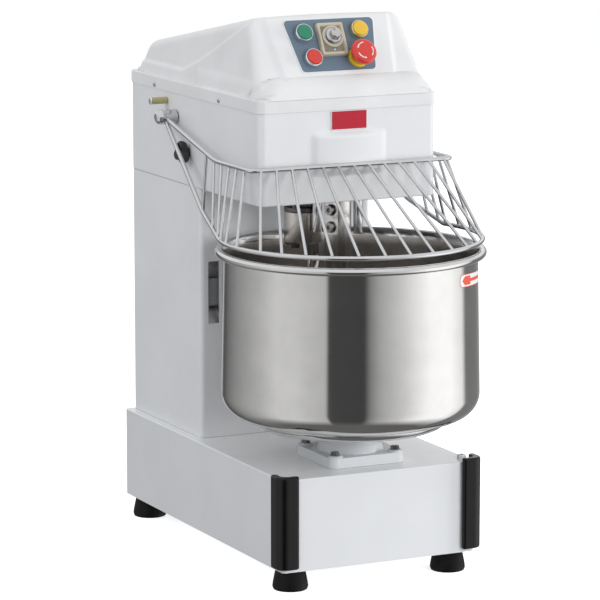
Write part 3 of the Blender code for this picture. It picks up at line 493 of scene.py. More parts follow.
lamp_blue = moulded("lamp_blue", (0.45, 0.72, 0.95), 0.2, coat=0.5)

for material, nodes in (
    (enamel_inner, "base_bottom_plate"),
    (enamel_white, "rear_cover"),
    (belt_rubber, "drive_belt"),
    (black_box, "electrical_box"),
    (motor_enamel, "motor"),
    (drive_steel, "head_top_plate bowl_shaft bowl_sprocket bowl_bearing guard_axle motor_plate motor_pulley"),
    (drive_steel, "hook_pulley hook_sprocket hook_bearing transfer_chain bowl_chain layshaft layshaft_wheel"),
    (drive_steel, "layshaft_bearing_upper layshaft_bearing_lower"),
):
    for node in nodes.split():
        for holder in NODES[node].material_slots:
            holder.material = material


# ---------------------------------------------------------------- sizes, from the CAD

SIDES = (("left", -1), ("right", 1))
SHEET = 0.0025
HEAD_FRONT = -0.1343
KNOB_SEAT = -0.147
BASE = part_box("base_housing")
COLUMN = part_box("column_housing")
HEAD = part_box("head_casing")
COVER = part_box("top_cover")
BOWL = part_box("bowl")
BOWL_Y = JOINTS["bowl_spin"]["pos_m"][1]
HOOK_X, HOOK_Y = JOINTS["hook_spin"]["pos_m"][:2]
GUARD_Y, GUARD_Z = JOINTS["guard_tilt"]["pos_m"][1:]


def half_width(node_box):
    return node_box[1].x


def centre_of(low, high):
    return (low.x + high.x) / 2, (low.y + high.y) / 2


# ---------------------------------------------------------------- base and column

def folded_shell(name, node_box, front, corner, edge, closed_top, closed_bottom):
    """A hollow sheet casing: rounded upright corners, a small bend radius along closed edges."""
    low, high = node_box
    half = half_width(node_box)
    outer = prism(rounded_rectangle(-half, half, front, high.y, corner, 8), low.z, high.z)
    closed = [z for z, shut in ((high.z, closed_top), (low.z, closed_bottom)) if shut]
    bevelled(outer, level_edges(outer, 2, *closed), edge, 4, profile=0.5)
    inner = rounded_rectangle(
        -half + SHEET, half - SHEET, front + SHEET, high.y - SHEET, max(corner - SHEET, 0.001), 8
    )
    inner_low = low.z + SHEET if closed_bottom else low.z - SHEET
    inner_high = high.z - SHEET if closed_top else high.z + SHEET
    return combine(as_object(name, outer), prism(inner, inner_low, inner_high))


def rear_opening(shell, node_box, low, high):
    rear = node_box[1].y
    combine(shell, block((-0.125, 0.125), (rear - 0.005, rear + 0.003), (low, high)))


def base_shell():
    base = folded_shell("base_shell", BASE, BASE[0].y, 0.005, 0.0018, True, False)
    top = BASE[1].z
    combine(base, drum(0.034, top - 0.006, top + 0.004, 0, BOWL_Y))
    settle(base, base_white, node="base_housing", angle=30)


def foot(node):
    low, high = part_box(node)
    x, y = centre_of(low, high)
    wide, tall = (high.x - low.x) / 2, high.z
    profile = [
        (0, 0.0004), (wide - 0.0080, 0.0004), (wide - 0.0070, 0.0), (wide - 0.0016, 0.0),
        (wide, 0.0045), (wide - 0.0010, 0.0120), (0.0232, tall - 0.0075),
        (0.0222, tall - 0.0040), (0.0222, tall), (0, tall),
    ]
    rounding = [0, 0.0005, 0.0015, 0.003, 0.004, 0.003, 0.002, 0.0006]
    piece(f"{node}_rubber", turned(profile, rounding, x, y, 56), rubber, node=node)
    piece(f"{node}_washer", drum(0.0125, tall, tall + 0.00045, x, y, 32), screw_steel_and_shade)


def bumper_outline(facing, front):
    """A thick strip that wraps the corner, with a full round nose and rounded ends."""
    half = half_width(BASE)
    gap, wing, thick, nose = 0.0003, 0.0238, 0.0104, 0.0155
    lobe = thick / 2
    round_at = gap - thick + nose
    points = [(0.0035, 0.0035), (gap, 0.0070), (gap, wing - lobe)]
    points += arc(gap - lobe, wing - lobe, lobe, 0, 180, 12)
    points += arc(round_at, round_at, nose, 180, 270, 14)
    points += arc(wing - lobe, gap - lobe, lobe, -90, 90, 12)
    points += [(0.0070, gap)]
    return [(facing * (half - u + gap), front + v - gap) for u, v in points]


def bumpers():
    for side, facing in SIDES:
        node = f"bumper_{side}"
        low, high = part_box(node)
        shape = prism(bumper_outline(facing, BASE[0].y), low.z, high.z)
        bevelled(shape, level_edges(shape, 2, low.z, high.z), 0.0030, 6, profile=0.5)
        piece(f"{node}_rubber", shape, bumper_rubber, node=node, angle=50)


def corner_cap():
    """A small cap and its screw on the base's top, behind the right bumper."""
    top = BASE[1].z
    x, y = half_width(BASE) - 0.0085, BASE[0].y + 0.026
    cap = [
        (0, top), (0.0068, top), (0.0068, top + 0.0040), (0.0058, top + 0.0052),
        (0.0028, top + 0.0052), (0.0026, top + 0.0044), (0, top + 0.0044),
    ]
    piece("corner_cap", turned(cap, [0, 0.0008, 0.0008, 0.0005, 0.0003], x, y, 36), casting_white)
    screw = [(0, top + 0.0045), (0.0023, top + 0.0045), (0.0021, top + 0.0056), (0, top + 0.0058)]
    piece("corner_cap_screw", lathe(screw, x, y, 24), screw_steel_and_shade)


def column():
    front = COLUMN[0].y
    shell = folded_shell("column_shell", COLUMN, front, 0.008, 0.001, False, False)
    low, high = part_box("slot_liner")
    across, upright = (low.x + 0.0045, high.x - 0.0075), (low.z + 0.011, high.z - 0.011)
    combine(shell, block(across, (front - 0.003, front + 0.006), upright))
    rear_opening(shell, COLUMN, 0.195, 0.545)
    settle(shell, enamel_white, node="column_housing", angle=30)


def column_slot():
    """What lies behind the column's slot: a dark pan, a plate and a sloped tongue."""
    wall = 0.0016
    low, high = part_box("slot_liner")
    pan = as_object("slot_pan", block(*zip(low, high)))
    across, upright = (low.x + wall, high.x - wall), (low.z + wall, high.z - wall)
    combine(pan, block(across, (low.y - 0.001, high.y - wall), upright))
    settle(pan, liner_steel, node="slot_liner", edge=0.0003, segments=1)
    across = low.x + 0.0022, high.x - 0.0022
    plate = block(across, (low.y + 0.0050, low.y + 0.0066), (low.z + 0.039, high.z - 0.039))
    piece("slot_plate", plate, slot_grey, edge=0.0003)
    near, far = low.y + 0.004, high.y - 0.003
    ramp = [(near, low.z + 0.004), (far, low.z + 0.030), (far, low.z + 0.034), (near, low.z + 0.008)]
    piece("slot_tongue", prism(ramp, *across, "X"), liner_steel, edge=0.0003)


def gland():
    seat = 0.0222
    low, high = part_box("cable_gland")
    x, y = centre_of(low, high)
    nut = prism(circle(x, y, (high.x - low.x) / 2, 6), seat + 0.0003, high.z)
    bevelled(nut, nut.edges[:], 0.0007, 2)
    cap = [(0.0047, low.z), (0.0078, low.z), (0.0088, low.z + 0.002), (0.0090, seat), (0.0047, seat)]
    shape = merged(nut, turned(cap, [0.0008, 0.001, 0.0005], x, y, 40))
    piece("gland_body", shape, black_plastic, node="cable_gland")


# ---------------------------------------------------------------- head

def head():
    shell = folded_shell("head_shell", HEAD, HEAD_FRONT, 0.011, 0.0022, False, True)
    through = (HEAD[0].z - 0.003, HEAD[0].z + 0.006)
    combine(shell, block((-0.120, 0.120), (0.096, 0.328), through))
    combine(shell, prism(circle(HOOK_X, HOOK_Y, 0.024), *through))
    rear_opening(shell, HEAD, 0.580, 0.680)
    combine(shell, prism(circle(GUARD_Y, GUARD_Z, 0.0066), -0.16, 0.16, "X"))
    settle(shell, enamel_white, node="head_casing", angle=30)


def smooth(t):
    """Rises from 0 to 1 with level ends. It takes a number or an array."""
    t = np.clip(t, 0, 1)
    return t * t * (3 - 2 * t)


def head_bulge():
    """The raised field on the head's front. Its rim sinks a little way into the sheet."""
    half, low, high = 0.062, 0.603, 0.667
    depth = HEAD_FRONT - HEAD[0].y
    columns, rows = 48, 30
    grid = bmesh.new()
    points = []
    for i in range(rows + 1):
        z = low - 0.004 + (high - low + 0.008) * i / rows
        edge_z = smooth(min((z - low + 0.003) / 0.012, (high + 0.003 - z) / 0.010))
        line = []
        for j in range(columns + 1):
            x = (half + 0.004) * (2 * j / columns - 1)
            across = max(0.0, 1 - (x / half) ** 2)
            edge_x = smooth((half + 0.003 - abs(x)) / 0.012)
            out = depth * edge_x * (0.22 + 0.78 * across) * edge_z
            sunk = 0.0002 * (1 - min(1.0, out / 0.0006))
            line.append(grid.verts.new((x, HEAD_FRONT - out + sunk, z)))
        points.append(line)
    for below, above in zip(points, points[1:]):
        for j in range(columns):
            grid.faces.new((below[j], below[j + 1], above[j + 1], above[j]))
    bmesh.ops.recalc_face_normals(grid, faces=grid.faces)
    if grid.faces[:][0].normal.y > 0:
        bmesh.ops.reverse_faces(grid, faces=grid.faces)
    piece("head_bulge", grid, enamel_white, angle=60)


def badge():
    """A plain red plate in a bright frame."""
    half, low, high = 0.0298, 0.6698, 0.6990
    for name, material, inset, corner, near, far, easing, steps in (
        ("badge_frame", ring_chrome, 0.0, 0.0015, 0.0016, 0.0001, 0.0005, 3),
        ("badge_plate", badge_red, 0.0012, 0.0009, 0.0021, 0.0012, 0.0003, 2),
    ):
        outline = rounded_rectangle(-half + inset, half - inset, low + inset, high - inset, corner, 4)
        shape = prism(outline, HEAD_FRONT - near, HEAD_FRONT - far, "Y")
        bevelled(shape, level_edges(shape, 1, HEAD_FRONT - near), easing, steps)
        piece(name, shape, material, angle=40)


# ---------------------------------------------------------------- cover

PANEL_SLOPE = math.radians(61)
PANEL_CENTRE = Vector((0, -0.0834, 0.7913))
OUTWARD = Vector((0, -math.sin(PANEL_SLOPE), math.cos(PANEL_SLOPE)))
UP_SLOPE = Vector((0, math.cos(PANEL_SLOPE), math.sin(PANEL_SLOPE)))
BUTTON_PLACES = [(-0.0476, 0.0186), (-0.0408, -0.0218), (0.0450, 0.0203)]
ESTOP_PLACE = (0.0351, -0.0227)
CONTROL_HOLE = 0.0112
TIMER_PLACE = (-0.0028, 0.0075)
TIMER_HALF = (0.0217, 0.0260)
TIMER_HOLE = (TIMER_HALF[0] - 0.003, TIMER_HALF[1] - 0.003)
TIMER_DIAL = (-0.0020, 0.0105)
SKIRT_TOP = 0.7193
SKIRT_HALF = 0.1484
COVER_HALF = 0.142
COVER_TAPER = 0.158
RIDGE_Y = -0.0575
RIDGE_TOP = 0.8362
TOP_FALL = 0.187
SHOULDER = 0.7435


def soft_max(a, b, radius):
    """The larger of two distances, with the crease between them rounded."""
    h = np.maximum(radius - np.abs(a - b), 0)
    return np.maximum(a, b) + h * h / (4 * radius)


def line_side(u, v, first, second):
    """Signed distance of points from a line through two points, positive on its left."""
    du, dv = second[0] - first[0], second[1] - first[1]
    return (du * (v - first[1]) - dv * (u - first[0])) / math.hypot(du, dv)


def cover_distance(p):
    """Signed distance, near the surface, of the cover's outside above its skirt."""
    x, y, z = np.abs(p[:, 0]), p[:, 1], p[:, 2]
    above_skirt = z - SKIRT_TOP
    from_centre = p - np.array(PANEL_CENTRE)
    up = from_centre @ np.array(UP_SLOPE)
    plateau_half = 0.0996 - (0.046 - up) * (0.0996 - 0.088) / 0.1025
    pocket = smooth((x - plateau_half) / 0.0085) * smooth((up + 0.072) / 0.014)
    panel = from_centre @ np.array(OUTWARD) + 0.0014 + 0.0046 * pocket
    brow = [(0.330, 0.7365), (0.160, 0.7365), (0.100, 0.7575), (-0.030, 0.8165)]
    sunk = np.min([-line_side(y, z, *ends) for ends in zip(brow, brow[1:])], axis=0)
    recess = 0.0028 * smooth((sunk + 0.002) / 0.0045)
    side = (x - COVER_HALF + above_skirt * COVER_TAPER) / math.hypot(1, COVER_TAPER) + recess
    crown = 0.0016 * smooth((x - 0.02) / 0.10)
    top = (z - RIDGE_TOP + (y - RIDGE_Y) * TOP_FALL) / math.hypot(1, TOP_FALL) + crown
    rear = (y - 0.3275) * 0.876 + above_skirt * 0.482
    upper = panel
    for face, radius in ((top, 0.0070), (side, 0.0130), (rear, 0.0110)):
        upper = soft_max(upper, face, radius)
    lower = above_skirt * 0.566 - (y + 0.1330) * 0.824
    for face, radius in ((z - SHOULDER, 0.0065), (side, 0.0130), (y - 0.10, 0.001)):
        lower = soft_max(lower, face, radius)
    return -soft_max(-upper, -lower, 0.0065)


def cover_slope(points, step=0.00005):
    """How the distance changes along each axis."""
    changes = [cover_distance(points + step * a) - cover_distance(points - step * a) for a in np.eye(3)]
    return np.stack(changes, axis=1) / (2 * step)


def cover_mesh(voxel=0.0023, rounds=24, furthest=0.003):
    """The cover's body as an even mesh, each point moved onto the rounded surface."""
    rough = [
        (-0.133, SKIRT_TOP - 0.012), (-0.133, SKIRT_TOP), (-0.1165, SHOULDER), (-0.1105, SHOULDER),
        (RIDGE_Y, 0.8365), (0.300, 0.7700), (0.328, SKIRT_TOP), (0.328, SKIRT_TOP - 0.012),
    ]
    shape = prism(rough, -1, 1, "X")
    for vertex in shape.verts:
        vertex.co.x *= COVER_HALF - COVER_TAPER * (vertex.co.z - SKIRT_TOP)
    source = as_object("rough_cover", shape)
    remesh = source.modifiers.new("voxels", "REMESH")
    remesh.mode = "VOXEL"
    remesh.voxel_size = voxel
    mesh = evaluated(source)
    bpy.data.objects.remove(source)
    points = np.empty(len(mesh.vertices) * 3)
    mesh.vertices.foreach_get("co", points)
    points = points.reshape(-1, 3)
    for _ in range(rounds):
        slope = cover_slope(points)
        steepness = np.maximum((slope**2).sum(1), 0.25)
        move = np.clip(cover_distance(points) / steepness, -furthest, furthest)
        points = points - 0.8 * move[:, None] * slope
    mesh.vertices.foreach_set("co", points.ravel())
    return mesh


def in_a_hole(point):
    """Whether a point of the cover lies where a control passes through the panel."""
    local = point - PANEL_CENTRE
    x, up, out = local.x, local.dot(UP_SLOPE), local.dot(OUTWARD)
    if out < -0.008:
        return False
    if any(math.hypot(x - a, up - b) < CONTROL_HOLE for a, b in BUTTON_PLACES + [ESTOP_PLACE]):
        return True
    return abs(x - TIMER_PLACE[0]) < TIMER_HOLE[0] and abs(up - TIMER_PLACE[1]) < TIMER_HOLE[1]


def cover():
    mesh = cover_mesh()
    shape = bmesh.new()
    shape.from_mesh(mesh)
    bpy.data.meshes.remove(mesh)
    bmesh.ops.bisect_plane(
        shape,
        geom=shape.verts[:] + shape.edges[:] + shape.faces[:],
        plane_co=(0, 0, SKIRT_TOP - 0.0025),
        plane_no=(0, 0, 1),
        clear_inner=True,
    )
    unseen = [face for face in shape.faces if in_a_hole(face.calc_center_median())]
    bmesh.ops.delete(shape, geom=unseen, context="FACES")
    body = as_object("cover_body", shape)
    wall = body.modifiers.new("wall", "SOLIDIFY")
    wall.thickness = 0.003
    wall.offset = -1
    baked(body)
    painted(body.data, cover_white, 50)
    attached(body, "stand", "top_cover")


def cover_skirt():
    front, rear, base = -0.1358, COVER[1].y, COVER[0].z
    loops = []
    for inset, z, corner in (
        (0.0, base, 0.0124),
        (0.0, SKIRT_TOP - 0.0022, 0.0124),
        (0.0004, SKIRT_TOP - 0.0010, 0.0120),
        (0.0014, SKIRT_TOP - 0.0002, 0.0110),
        (0.0030, SKIRT_TOP, 0.0096),
        (0.0110, SKIRT_TOP, 0.0060),
        (0.0110, SKIRT_TOP - 0.0030, 0.0060),
        (0.0034, SKIRT_TOP - 0.0030, 0.0090),
        (0.0030, SKIRT_TOP - 0.0036, 0.0094),
        (0.0030, base, 0.0094),
    ):
        half = SKIRT_HALF - inset
        outline = rounded_rectangle(-half, half, front + inset, rear - inset * 1.2, corner, 8)
        loops.append([(x, y, z) for x, y in outline])
    piece("cover_skirt", skinned(loops, closed=True), cover_white, angle=50)


def skirt_screws():
    """Two round cross-head screws on each side of the skirt."""
    dome = [
        (0, 0.0018), (0.0012, 0.0019), (0.0026, 0.0015), (0.0034, 0.0006), (0.0035, -0.0005), (0, -0.0005),
    ]
    for side, facing in SIDES:
        for end, y in (("front", 0.005), ("rear", 0.244)):
            turn = sideways(facing * SKIRT_HALF, y, 0.7052, facing)
            screw = as_object(f"skirt_screw_{side}_{end}", placed(lathe(dome, sides=28), turn))
            for angle in (0.4, 0.4 + math.pi / 2):
                groove = block((-0.0021, 0.0021), (-0.0004, 0.0004), (0.0009, 0.004))
                combine(screw, placed(groove, turn @ Matrix.Rotation(angle, 4, "Z")))
            settle(screw, bright_screw, angle=40)


# ---------------------------------------------------------------- panel and controls

def on_panel(shape, place=(0, 0)):
    """Moves a shape from the panel's own axes to its (x, up) place on the panel."""
    slope = Matrix((Vector((1, 0, 0)), UP_SLOPE, OUTWARD)).transposed().to_4x4()
    return placed(shape, Matrix.Translation(PANEL_CENTRE) @ slope @ Matrix.Translation((*place, 0)))


def trapezium(inset, steps=8):
    half = 0.0868 / 2 - inset
    low, top = 0.0628 - inset, 0.0762 - inset
    lean = math.degrees(math.atan2(top - low, 2 * half))
    radius = 0.008 - inset
    right = arc(low - radius, -half + radius, radius, -90, -lean, steps)
    right += arc(top - radius - 0.001, half - radius, radius, -lean, 90, steps)
    return right + [(-x, up) for x, up in reversed(right)]


def panel():
    through = (-0.004, 0.004)
    x, up = TIMER_PLACE
    window = (x - TIMER_HOLE[0], x + TIMER_HOLE[0]), (up - TIMER_HOLE[1], up + TIMER_HOLE[1])
    for name, material, inset, low, high, node in (
        ("panel_plate", panel_edge, 0, -0.0012, -0.00012, "control_plate"),
        ("panel_overlay", panel_blue, 0.0013, -0.0004, 0, None),
    ):
        target = as_object(name, prism(trapezium(inset), low, high))
        for place in BUTTON_PLACES + [ESTOP_PLACE]:
            combine(target, drum(CONTROL_HOLE, *through, *place, 40))
        combine(target, block(*window, through))
        shape = bmesh.new()
        shape.from_mesh(target.data)
        on_panel(shape).to_mesh(target.data)
        shape.free()
        settle(target, material, node=node, angle=40)


def push_buttons():
    rim = [
        (0, -0.030), (0.0106, -0.030), (0.0106, 0.0001), (0.0143, 0.0001), (0.0143, 0.0030),
        (0.0140, 0.0078), (0.0135, 0.0098), (0.0126, 0.0102), (0.0120, 0.0094), (0.0120, 0.0015),
        (0, 0.0015),
    ]
    rounding = [0, 0, 0, 0.0006, 0.001, 0.0015, 0.0007, 0.0005, 0.0003]
    cap = [(0, 0.0050), (0.0117, 0.0050), (0.0117, 0.0108), (0.0108, 0.0119), (0.0060, 0.0123), (0, 0.0124)]
    finishes = ((ring_chrome, green), (ring_chrome, red), (jog_chrome, yellow))
    for name, (ring_finish, cap_finish), place in zip(("start", "stop", "jog"), finishes, BUTTON_PLACES):
        ring = on_panel(turned(rim, rounding), place)
        piece(f"{name}_ring", ring, ring_finish, node=f"{name}_bezel")
        button = on_panel(turned(cap, [0.0002, 0.0006, 0.0012, 0.006]), place)
        piece(f"{name}_cap", button, cap_finish, f"{name}_push", node=f"{name}_button")


def stop_arrow(start):
    """A curved arrow, flat, from an angle in degrees on."""
    inner, outer, barb, height = 0.0118, 0.0134, 0.0013, 0.02872
    sweep, steps = 58, 22
    outline = arc(0, 0, inner, start, start + sweep, steps)
    outline.append(polar(inner - barb, start + sweep - 2))
    outline.append(polar((inner + outer) / 2, start + sweep + 14))
    outline.append(polar(outer + barb, start + sweep - 2))
    outline += arc(0, 0, outer, start, start + sweep, steps)[::-1]
    return prism(outline, height - 0.0006, height + 0.00045)


def emergency_stop():
    collar = [
        (0, -0.040), (0.0106, -0.040), (0.0106, 0.0001), (0.0160, 0.0001), (0.0160, 0.0040),
        (0.0150, 0.0056), (0.0112, 0.0058), (0.0090, 0.0052), (0.0088, -0.012), (0, -0.012),
    ]
    shape = turned(collar, [0, 0, 0, 0.0008, 0.001, 0.001, 0.0008, 0.0004], sides=72)
    piece("stop_collar", on_panel(shape, ESTOP_PLACE), collar_yellow, node="estop_collar")
    stem = drum(0.0083, -0.0055, 0.0150, sides=48, rounding=(0.0004, 0.0004))
    piece("stop_stem", on_panel(stem, ESTOP_PLACE), black_plastic, "estop_plunger", node="estop_stem")
    dome = [
        (0, 0.0153), (0.0140, 0.0153), (0.0188, 0.0170), (0.0203, 0.0205), (0.0201, 0.0238),
        (0.0185, 0.0268), (0.0150, 0.0284), (0.0080, 0.0289), (0, 0.0290),
    ]
    shape = turned(dome, [0.001, 0.003, 0.004, 0.004, 0.005, 0.006, 0.01], sides=80, steps=5)
    piece("stop_head", on_panel(shape, ESTOP_PLACE), red, "estop_mushroom", node="estop_head")
    arrows = merged(*(stop_arrow(start) for start in (-45, 92, 198)))
    for vertex in arrows.verts:
        outward = max(0.0, vertex.co.xy.length - 0.0095)
        vertex.co.z += 0.00016 - 52.8 * outward**2
    arrows = on_panel(arrows, ESTOP_PLACE)
    piece("stop_arrows", arrows, arrow_white, "estop_mushroom", slot="red", angle=60)


def timer_outline(inset, corner, steps):
    half, tall = TIMER_HALF[0] - inset, TIMER_HALF[1] - inset
    return rounded_rectangle(-half, half, -tall, tall, corner, steps)


def timer_frame():
    loops = []
    for inset, height in (
        (0.0, 0.0001), (0.0, 0.0062), (0.0010, 0.0076), (0.0030, 0.0080),
        (0.0036, 0.0074), (0.0042, 0.0074), (0.0050, 0.0066), (0.0054, 0.0052),
    ):
        outline = timer_outline(inset, max(0.0022 - inset, 0.0004), 4)
        loops.append([(x, up, height) for x, up in outline])
    shape = on_panel(skinned(loops, capped=True), TIMER_PLACE)
    piece("timer_frame", shape, beige, node="timer_bezel", angle=40)
    case = prism(timer_outline(0.0036, 0.001, 2), -0.045, -0.00005)
    piece("timer_case", on_panel(case, TIMER_PLACE), black_box, edge=0.0005)
    face = prism(timer_outline(0.0058, 0.0006, 2), 0.0045, 0.0056)
    piece("timer_face", on_panel(face, TIMER_PLACE), beige_dark, edge=0.0002, segments=1)


def timer_dial():
    seat, scale_edge, first_mark = 0.0050, 0.0143, 120
    ring = [(scale_edge, seat), (scale_edge, 0.0088), (0.0166, 0.0088), (0.0172, 0.0080), (0.0172, seat)]
    shape = turned(ring, [0.0004, 0.0004, 0.0006], sides=72)
    piece("timer_dial_ring", on_panel(shape, TIMER_DIAL), beige)
    scale = [(0, seat), (scale_edge, seat), (scale_edge, 0.0082), (0.0138, 0.0085), (0, 0.0085)]
    piece("timer_scale", on_panel(lathe(scale, sides=72), TIMER_DIAL), dial_grey)
    ticks = []
    for i in range(24):
        length = 0.0016 if i % 4 else 0.0022
        tick = block((0.0134 - length, 0.0134), (-0.00012, 0.00012), (0.0084, 0.0087))
        ticks.append(placed(tick, Matrix.Rotation(math.radians(first_mark + 300 * i / 23), 4, "Z")))
    piece("timer_ticks", on_panel(merged(*ticks), TIMER_DIAL), arrow_white, slot="beige")
    knob = [
        (0, 0.0096), (0.0118, 0.0096), (0.0120, 0.0116), (0.0110, 0.0128), (0.0088, 0.0136),
        (0.0080, 0.0170), (0.0077, 0.0206), (0.0066, 0.0222), (0.0035, 0.0229), (0, 0.0230),
    ]
    shape = turned(knob, [0.0003, 0.0006, 0.0008, 0.001, 0.001, 0.001, 0.0015, 0.002], sides=72)
    piece("timer_grip", on_panel(shape, TIMER_DIAL), knob_silver, "timer_dial", node="timer_knob")
    mark = block((0.0035, 0.0072), (-0.0004, 0.0004), (0.0216, 0.02305))
    mark = placed(mark, Matrix.Rotation(math.radians(first_mark), 4, "Z"))
    piece("timer_mark", on_panel(mark, TIMER_DIAL), screw_steel_and_shade, "timer_dial", slot="chrome")


def timer_details():
    profile = [(0, 0.0050), (0.0017, 0.0050), (0.0017, 0.0066), (0, 0.0072)]
    lamp = turned(profile, [0.0002, 0.0008], sides=28)
    piece("timer_lamp", on_panel(lamp, (-0.0030, -0.0104)), lamp_blue)
    profile = [(0, 0.0050), (0.0012, 0.0050), (0.0012, 0.0060), (0, 0.0064)]
    reach, rise = TIMER_HALF[0] - 0.0080, TIMER_HALF[1] - 0.0078
    for level, upward in (("low", -1), ("top", 1)):
        for side, facing in SIDES:
            place = TIMER_PLACE[0] + facing * reach, TIMER_PLACE[1] + upward * rise
            screw = on_panel(turned(profile, [0.0001, 0.0004], sides=20), place)
            piece(f"timer_screw_{side}_{level}", screw, beige_dark)


# ---------------------------------------------------------------- bowl and its support

def bowl():
    wall, steps = 0.0016, 14
    floor, top = BOWL[0].z, BOWL[1].z
    fillet, dish, dish_at = 0.036, 0.016, 0.132
    body, radius, neck, rim = 0.240, 0.1945, 0.190, 0.0062
    flat = radius - fillet
    bead_z, bead_at = top - rim, BOWL[1].x - rim
    low, high, inner_high = body + fillet, bead_z - 0.0052, bead_z - 0.006
    shares = [i / steps for i in range(1, steps + 1)]
    outside = [(0, floor), (0.06, floor)]
    outside += arc(dish_at, floor + dish, dish, -90, 0, 10)
    outside += [(dish_at + dish + 0.0006, body), (flat - 0.002, body)]
    outside += arc(flat, body + fillet, fillet, -90, 0, 20)
    outside += [(radius + (neck + 0.0004 - radius) * t, low + (high - low) * t) for t in shares]
    outside += arc(bead_at, bead_z, rim, 222, 500, 26)[1:]
    inside = [(neck - wall, inner_high)]
    inside += [(neck - wall + (radius - neck) * t, inner_high + (low - inner_high) * t) for t in shares]
    inside += arc(flat, body + fillet, fillet - wall, 0, -90, 20)
    inside += [(dish_at + dish - wall + 0.002, body + wall)]
    inside += arc(dish_at, floor + dish, dish - wall, 0, -90, 10)
    inside += [(0.06, floor + wall), (0, floor + wall)]
    shape = lathe(outside + inside, 0, BOWL_Y, 200)
    made = piece("bowl_steel", shape, bowl_steel, "bowl", node="bowl", angle=50)
    made.data.materials.append(bowl_inside)
    for polygon in made.data.polygons:
        centre = polygon.center - Vector((0, BOWL_Y, 0))
        inward = polygon.normal.xy.dot(centre.xy) < -0.2 * centre.xy.length
        within = centre.xy.length < neck and centre.z < bead_z
        if within and (inward or polygon.normal.z > 0.3):
            polygon.material_index = 1


def wrapped(outline, lift):
    """A thin label from its flat (along, up) outline, laid round the bowl's right shoulder."""
    wide, narrow, low, high = 0.1945, 0.1904, 0.276, BOWL[1].z - 0.0114
    shape = prism(outline, 0, 0.0001)
    bmesh.ops.triangulate(shape, faces=[f for f in shape.faces if len(f.verts) > 4])
    bmesh.ops.subdivide_edges(shape, edges=shape.edges[:], cuts=3, use_grid_fill=True)
    for vertex in shape.verts:
        along, up, out = vertex.co
        z = 0.457 + up - 0.0545 * along
        radius = wide + (narrow - wide) * (z - low) / (high - low) + lift + out
        turn = math.radians(46.5) - along / 0.192
        vertex.co = (radius * math.cos(turn), BOWL_Y - radius * math.sin(turn), z)
    bmesh.ops.recalc_face_normals(shape, faces=shape.faces)
    return shape


def sticker():
    """A small label with a plain arrow."""
    edge, half, tall, corner = 0.0008, 0.044, 0.0094, 0.0075
    rim = rounded_rectangle(-half, half, -tall, tall, corner, 5)
    field = rounded_rectangle(-half + edge, half - edge, -tall + edge, tall - edge, corner - edge, 5)
    arrow = [
        (-0.0375, 0.0), (-0.0290, 0.0066), (-0.0100, 0.0066), (-0.0100, 0.0024), (0.0380, 0.0024),
        (0.0380, -0.0024), (-0.0100, -0.0024), (-0.0100, -0.0066), (-0.0290, -0.0066),
    ]
    for name, outline, lift, material in (
        ("bowl_label_rim", rim, 0.00010, sticker_red),
        ("bowl_label", field, 0.00024, sticker_white),
        ("bowl_label_arrow", arrow, 0.00038, sticker_red),
    ):
        piece(name, wrapped(outline, lift), material, "bowl", angle=60)


def hexagon(radius, low, high, eased, easing, place):
    """A nut or a bolt head, the edges at one of its levels eased."""
    shape = prism(circle(0, 0, radius, 6), low, high)
    bevelled(shape, level_edges(shape, 2, eased), easing, 2)
    return placed(shape, place)


def bowl_support():
    low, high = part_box("bowl_support")
    base, half, corner, boss_top = low.z, 0.050, 0.0125, 0.1903
    reach = half + corner
    outline = rounded_rectangle(-reach, reach, BOWL_Y - reach, BOWL_Y + reach, corner, 8)
    body = as_object("support_casting", prism(outline, base, base + 0.0155))
    hub = [
        (0, base), (0.0520, base), (0.0500, base + 0.016), (0.0475, base + 0.026),
        (0.0465, high.z - 0.002), (0.0450, high.z), (0, high.z),
    ]
    combine(body, turned(hub, [0, 0.004, 0.006, 0.003, 0.001], 0, BOWL_Y, 72), "UNION")
    boss = [(0, base), (0.0122, base), (0.0114, boss_top - 0.0012), (0.0102, boss_top), (0, boss_top)]
    for x in (-half, half):
        for y in (-half, half):
            combine(body, turned(boss, [0, 0.0012, 0.0008], x, BOWL_Y + y, 40), "UNION")
    combine(body, drum(0.0315, base - 0.002, high.z + 0.002, 0, BOWL_Y))
    settle(body, casting_white, node="bowl_support", angle=32, edge=0.0014, segments=3)
    seat, head_top = boss_top + 0.0010, boss_top + 0.0056
    for i, (x, y) in enumerate(((-half, -half), (half, -half), (half, half), (-half, half)), start=1):
        washer = drum(0.0082, boss_top, seat, x, BOWL_Y + y, 40, (0.0001, 0.0003))
        piece(f"support_washer_{i}", washer, bright_screw)
        place = Matrix.Translation((x, BOWL_Y + y, 0)) @ Matrix.Rotation(0.35 * i, 4, "Z")
        bolt = hexagon(0.0066, seat, head_top, head_top, 0.0006, place)
        piece(f"support_bolt_{i}", bolt, screw_steel_and_shade, angle=25)


# ---------------------------------------------------------------- hook, bar and posts

def socket_screw(name, matrix, radius, height, body, material, node=None):
    """A cap screw with a hexagon socket; its base lies at the matrix's origin."""
    head = as_object(name, drum(radius, 0, height, sides=40, rounding=(0.0003, 0.0006)))
    combine(head, prism(circle(0, 0, radius * 0.50, 6), height * 0.45, height + 0.001))
    head.data.transform(matrix)
    settle(head, material, body, node)


HUB_LOW, HUB_TOP, HUB_RADIUS = 0.485, 0.5327, 0.029


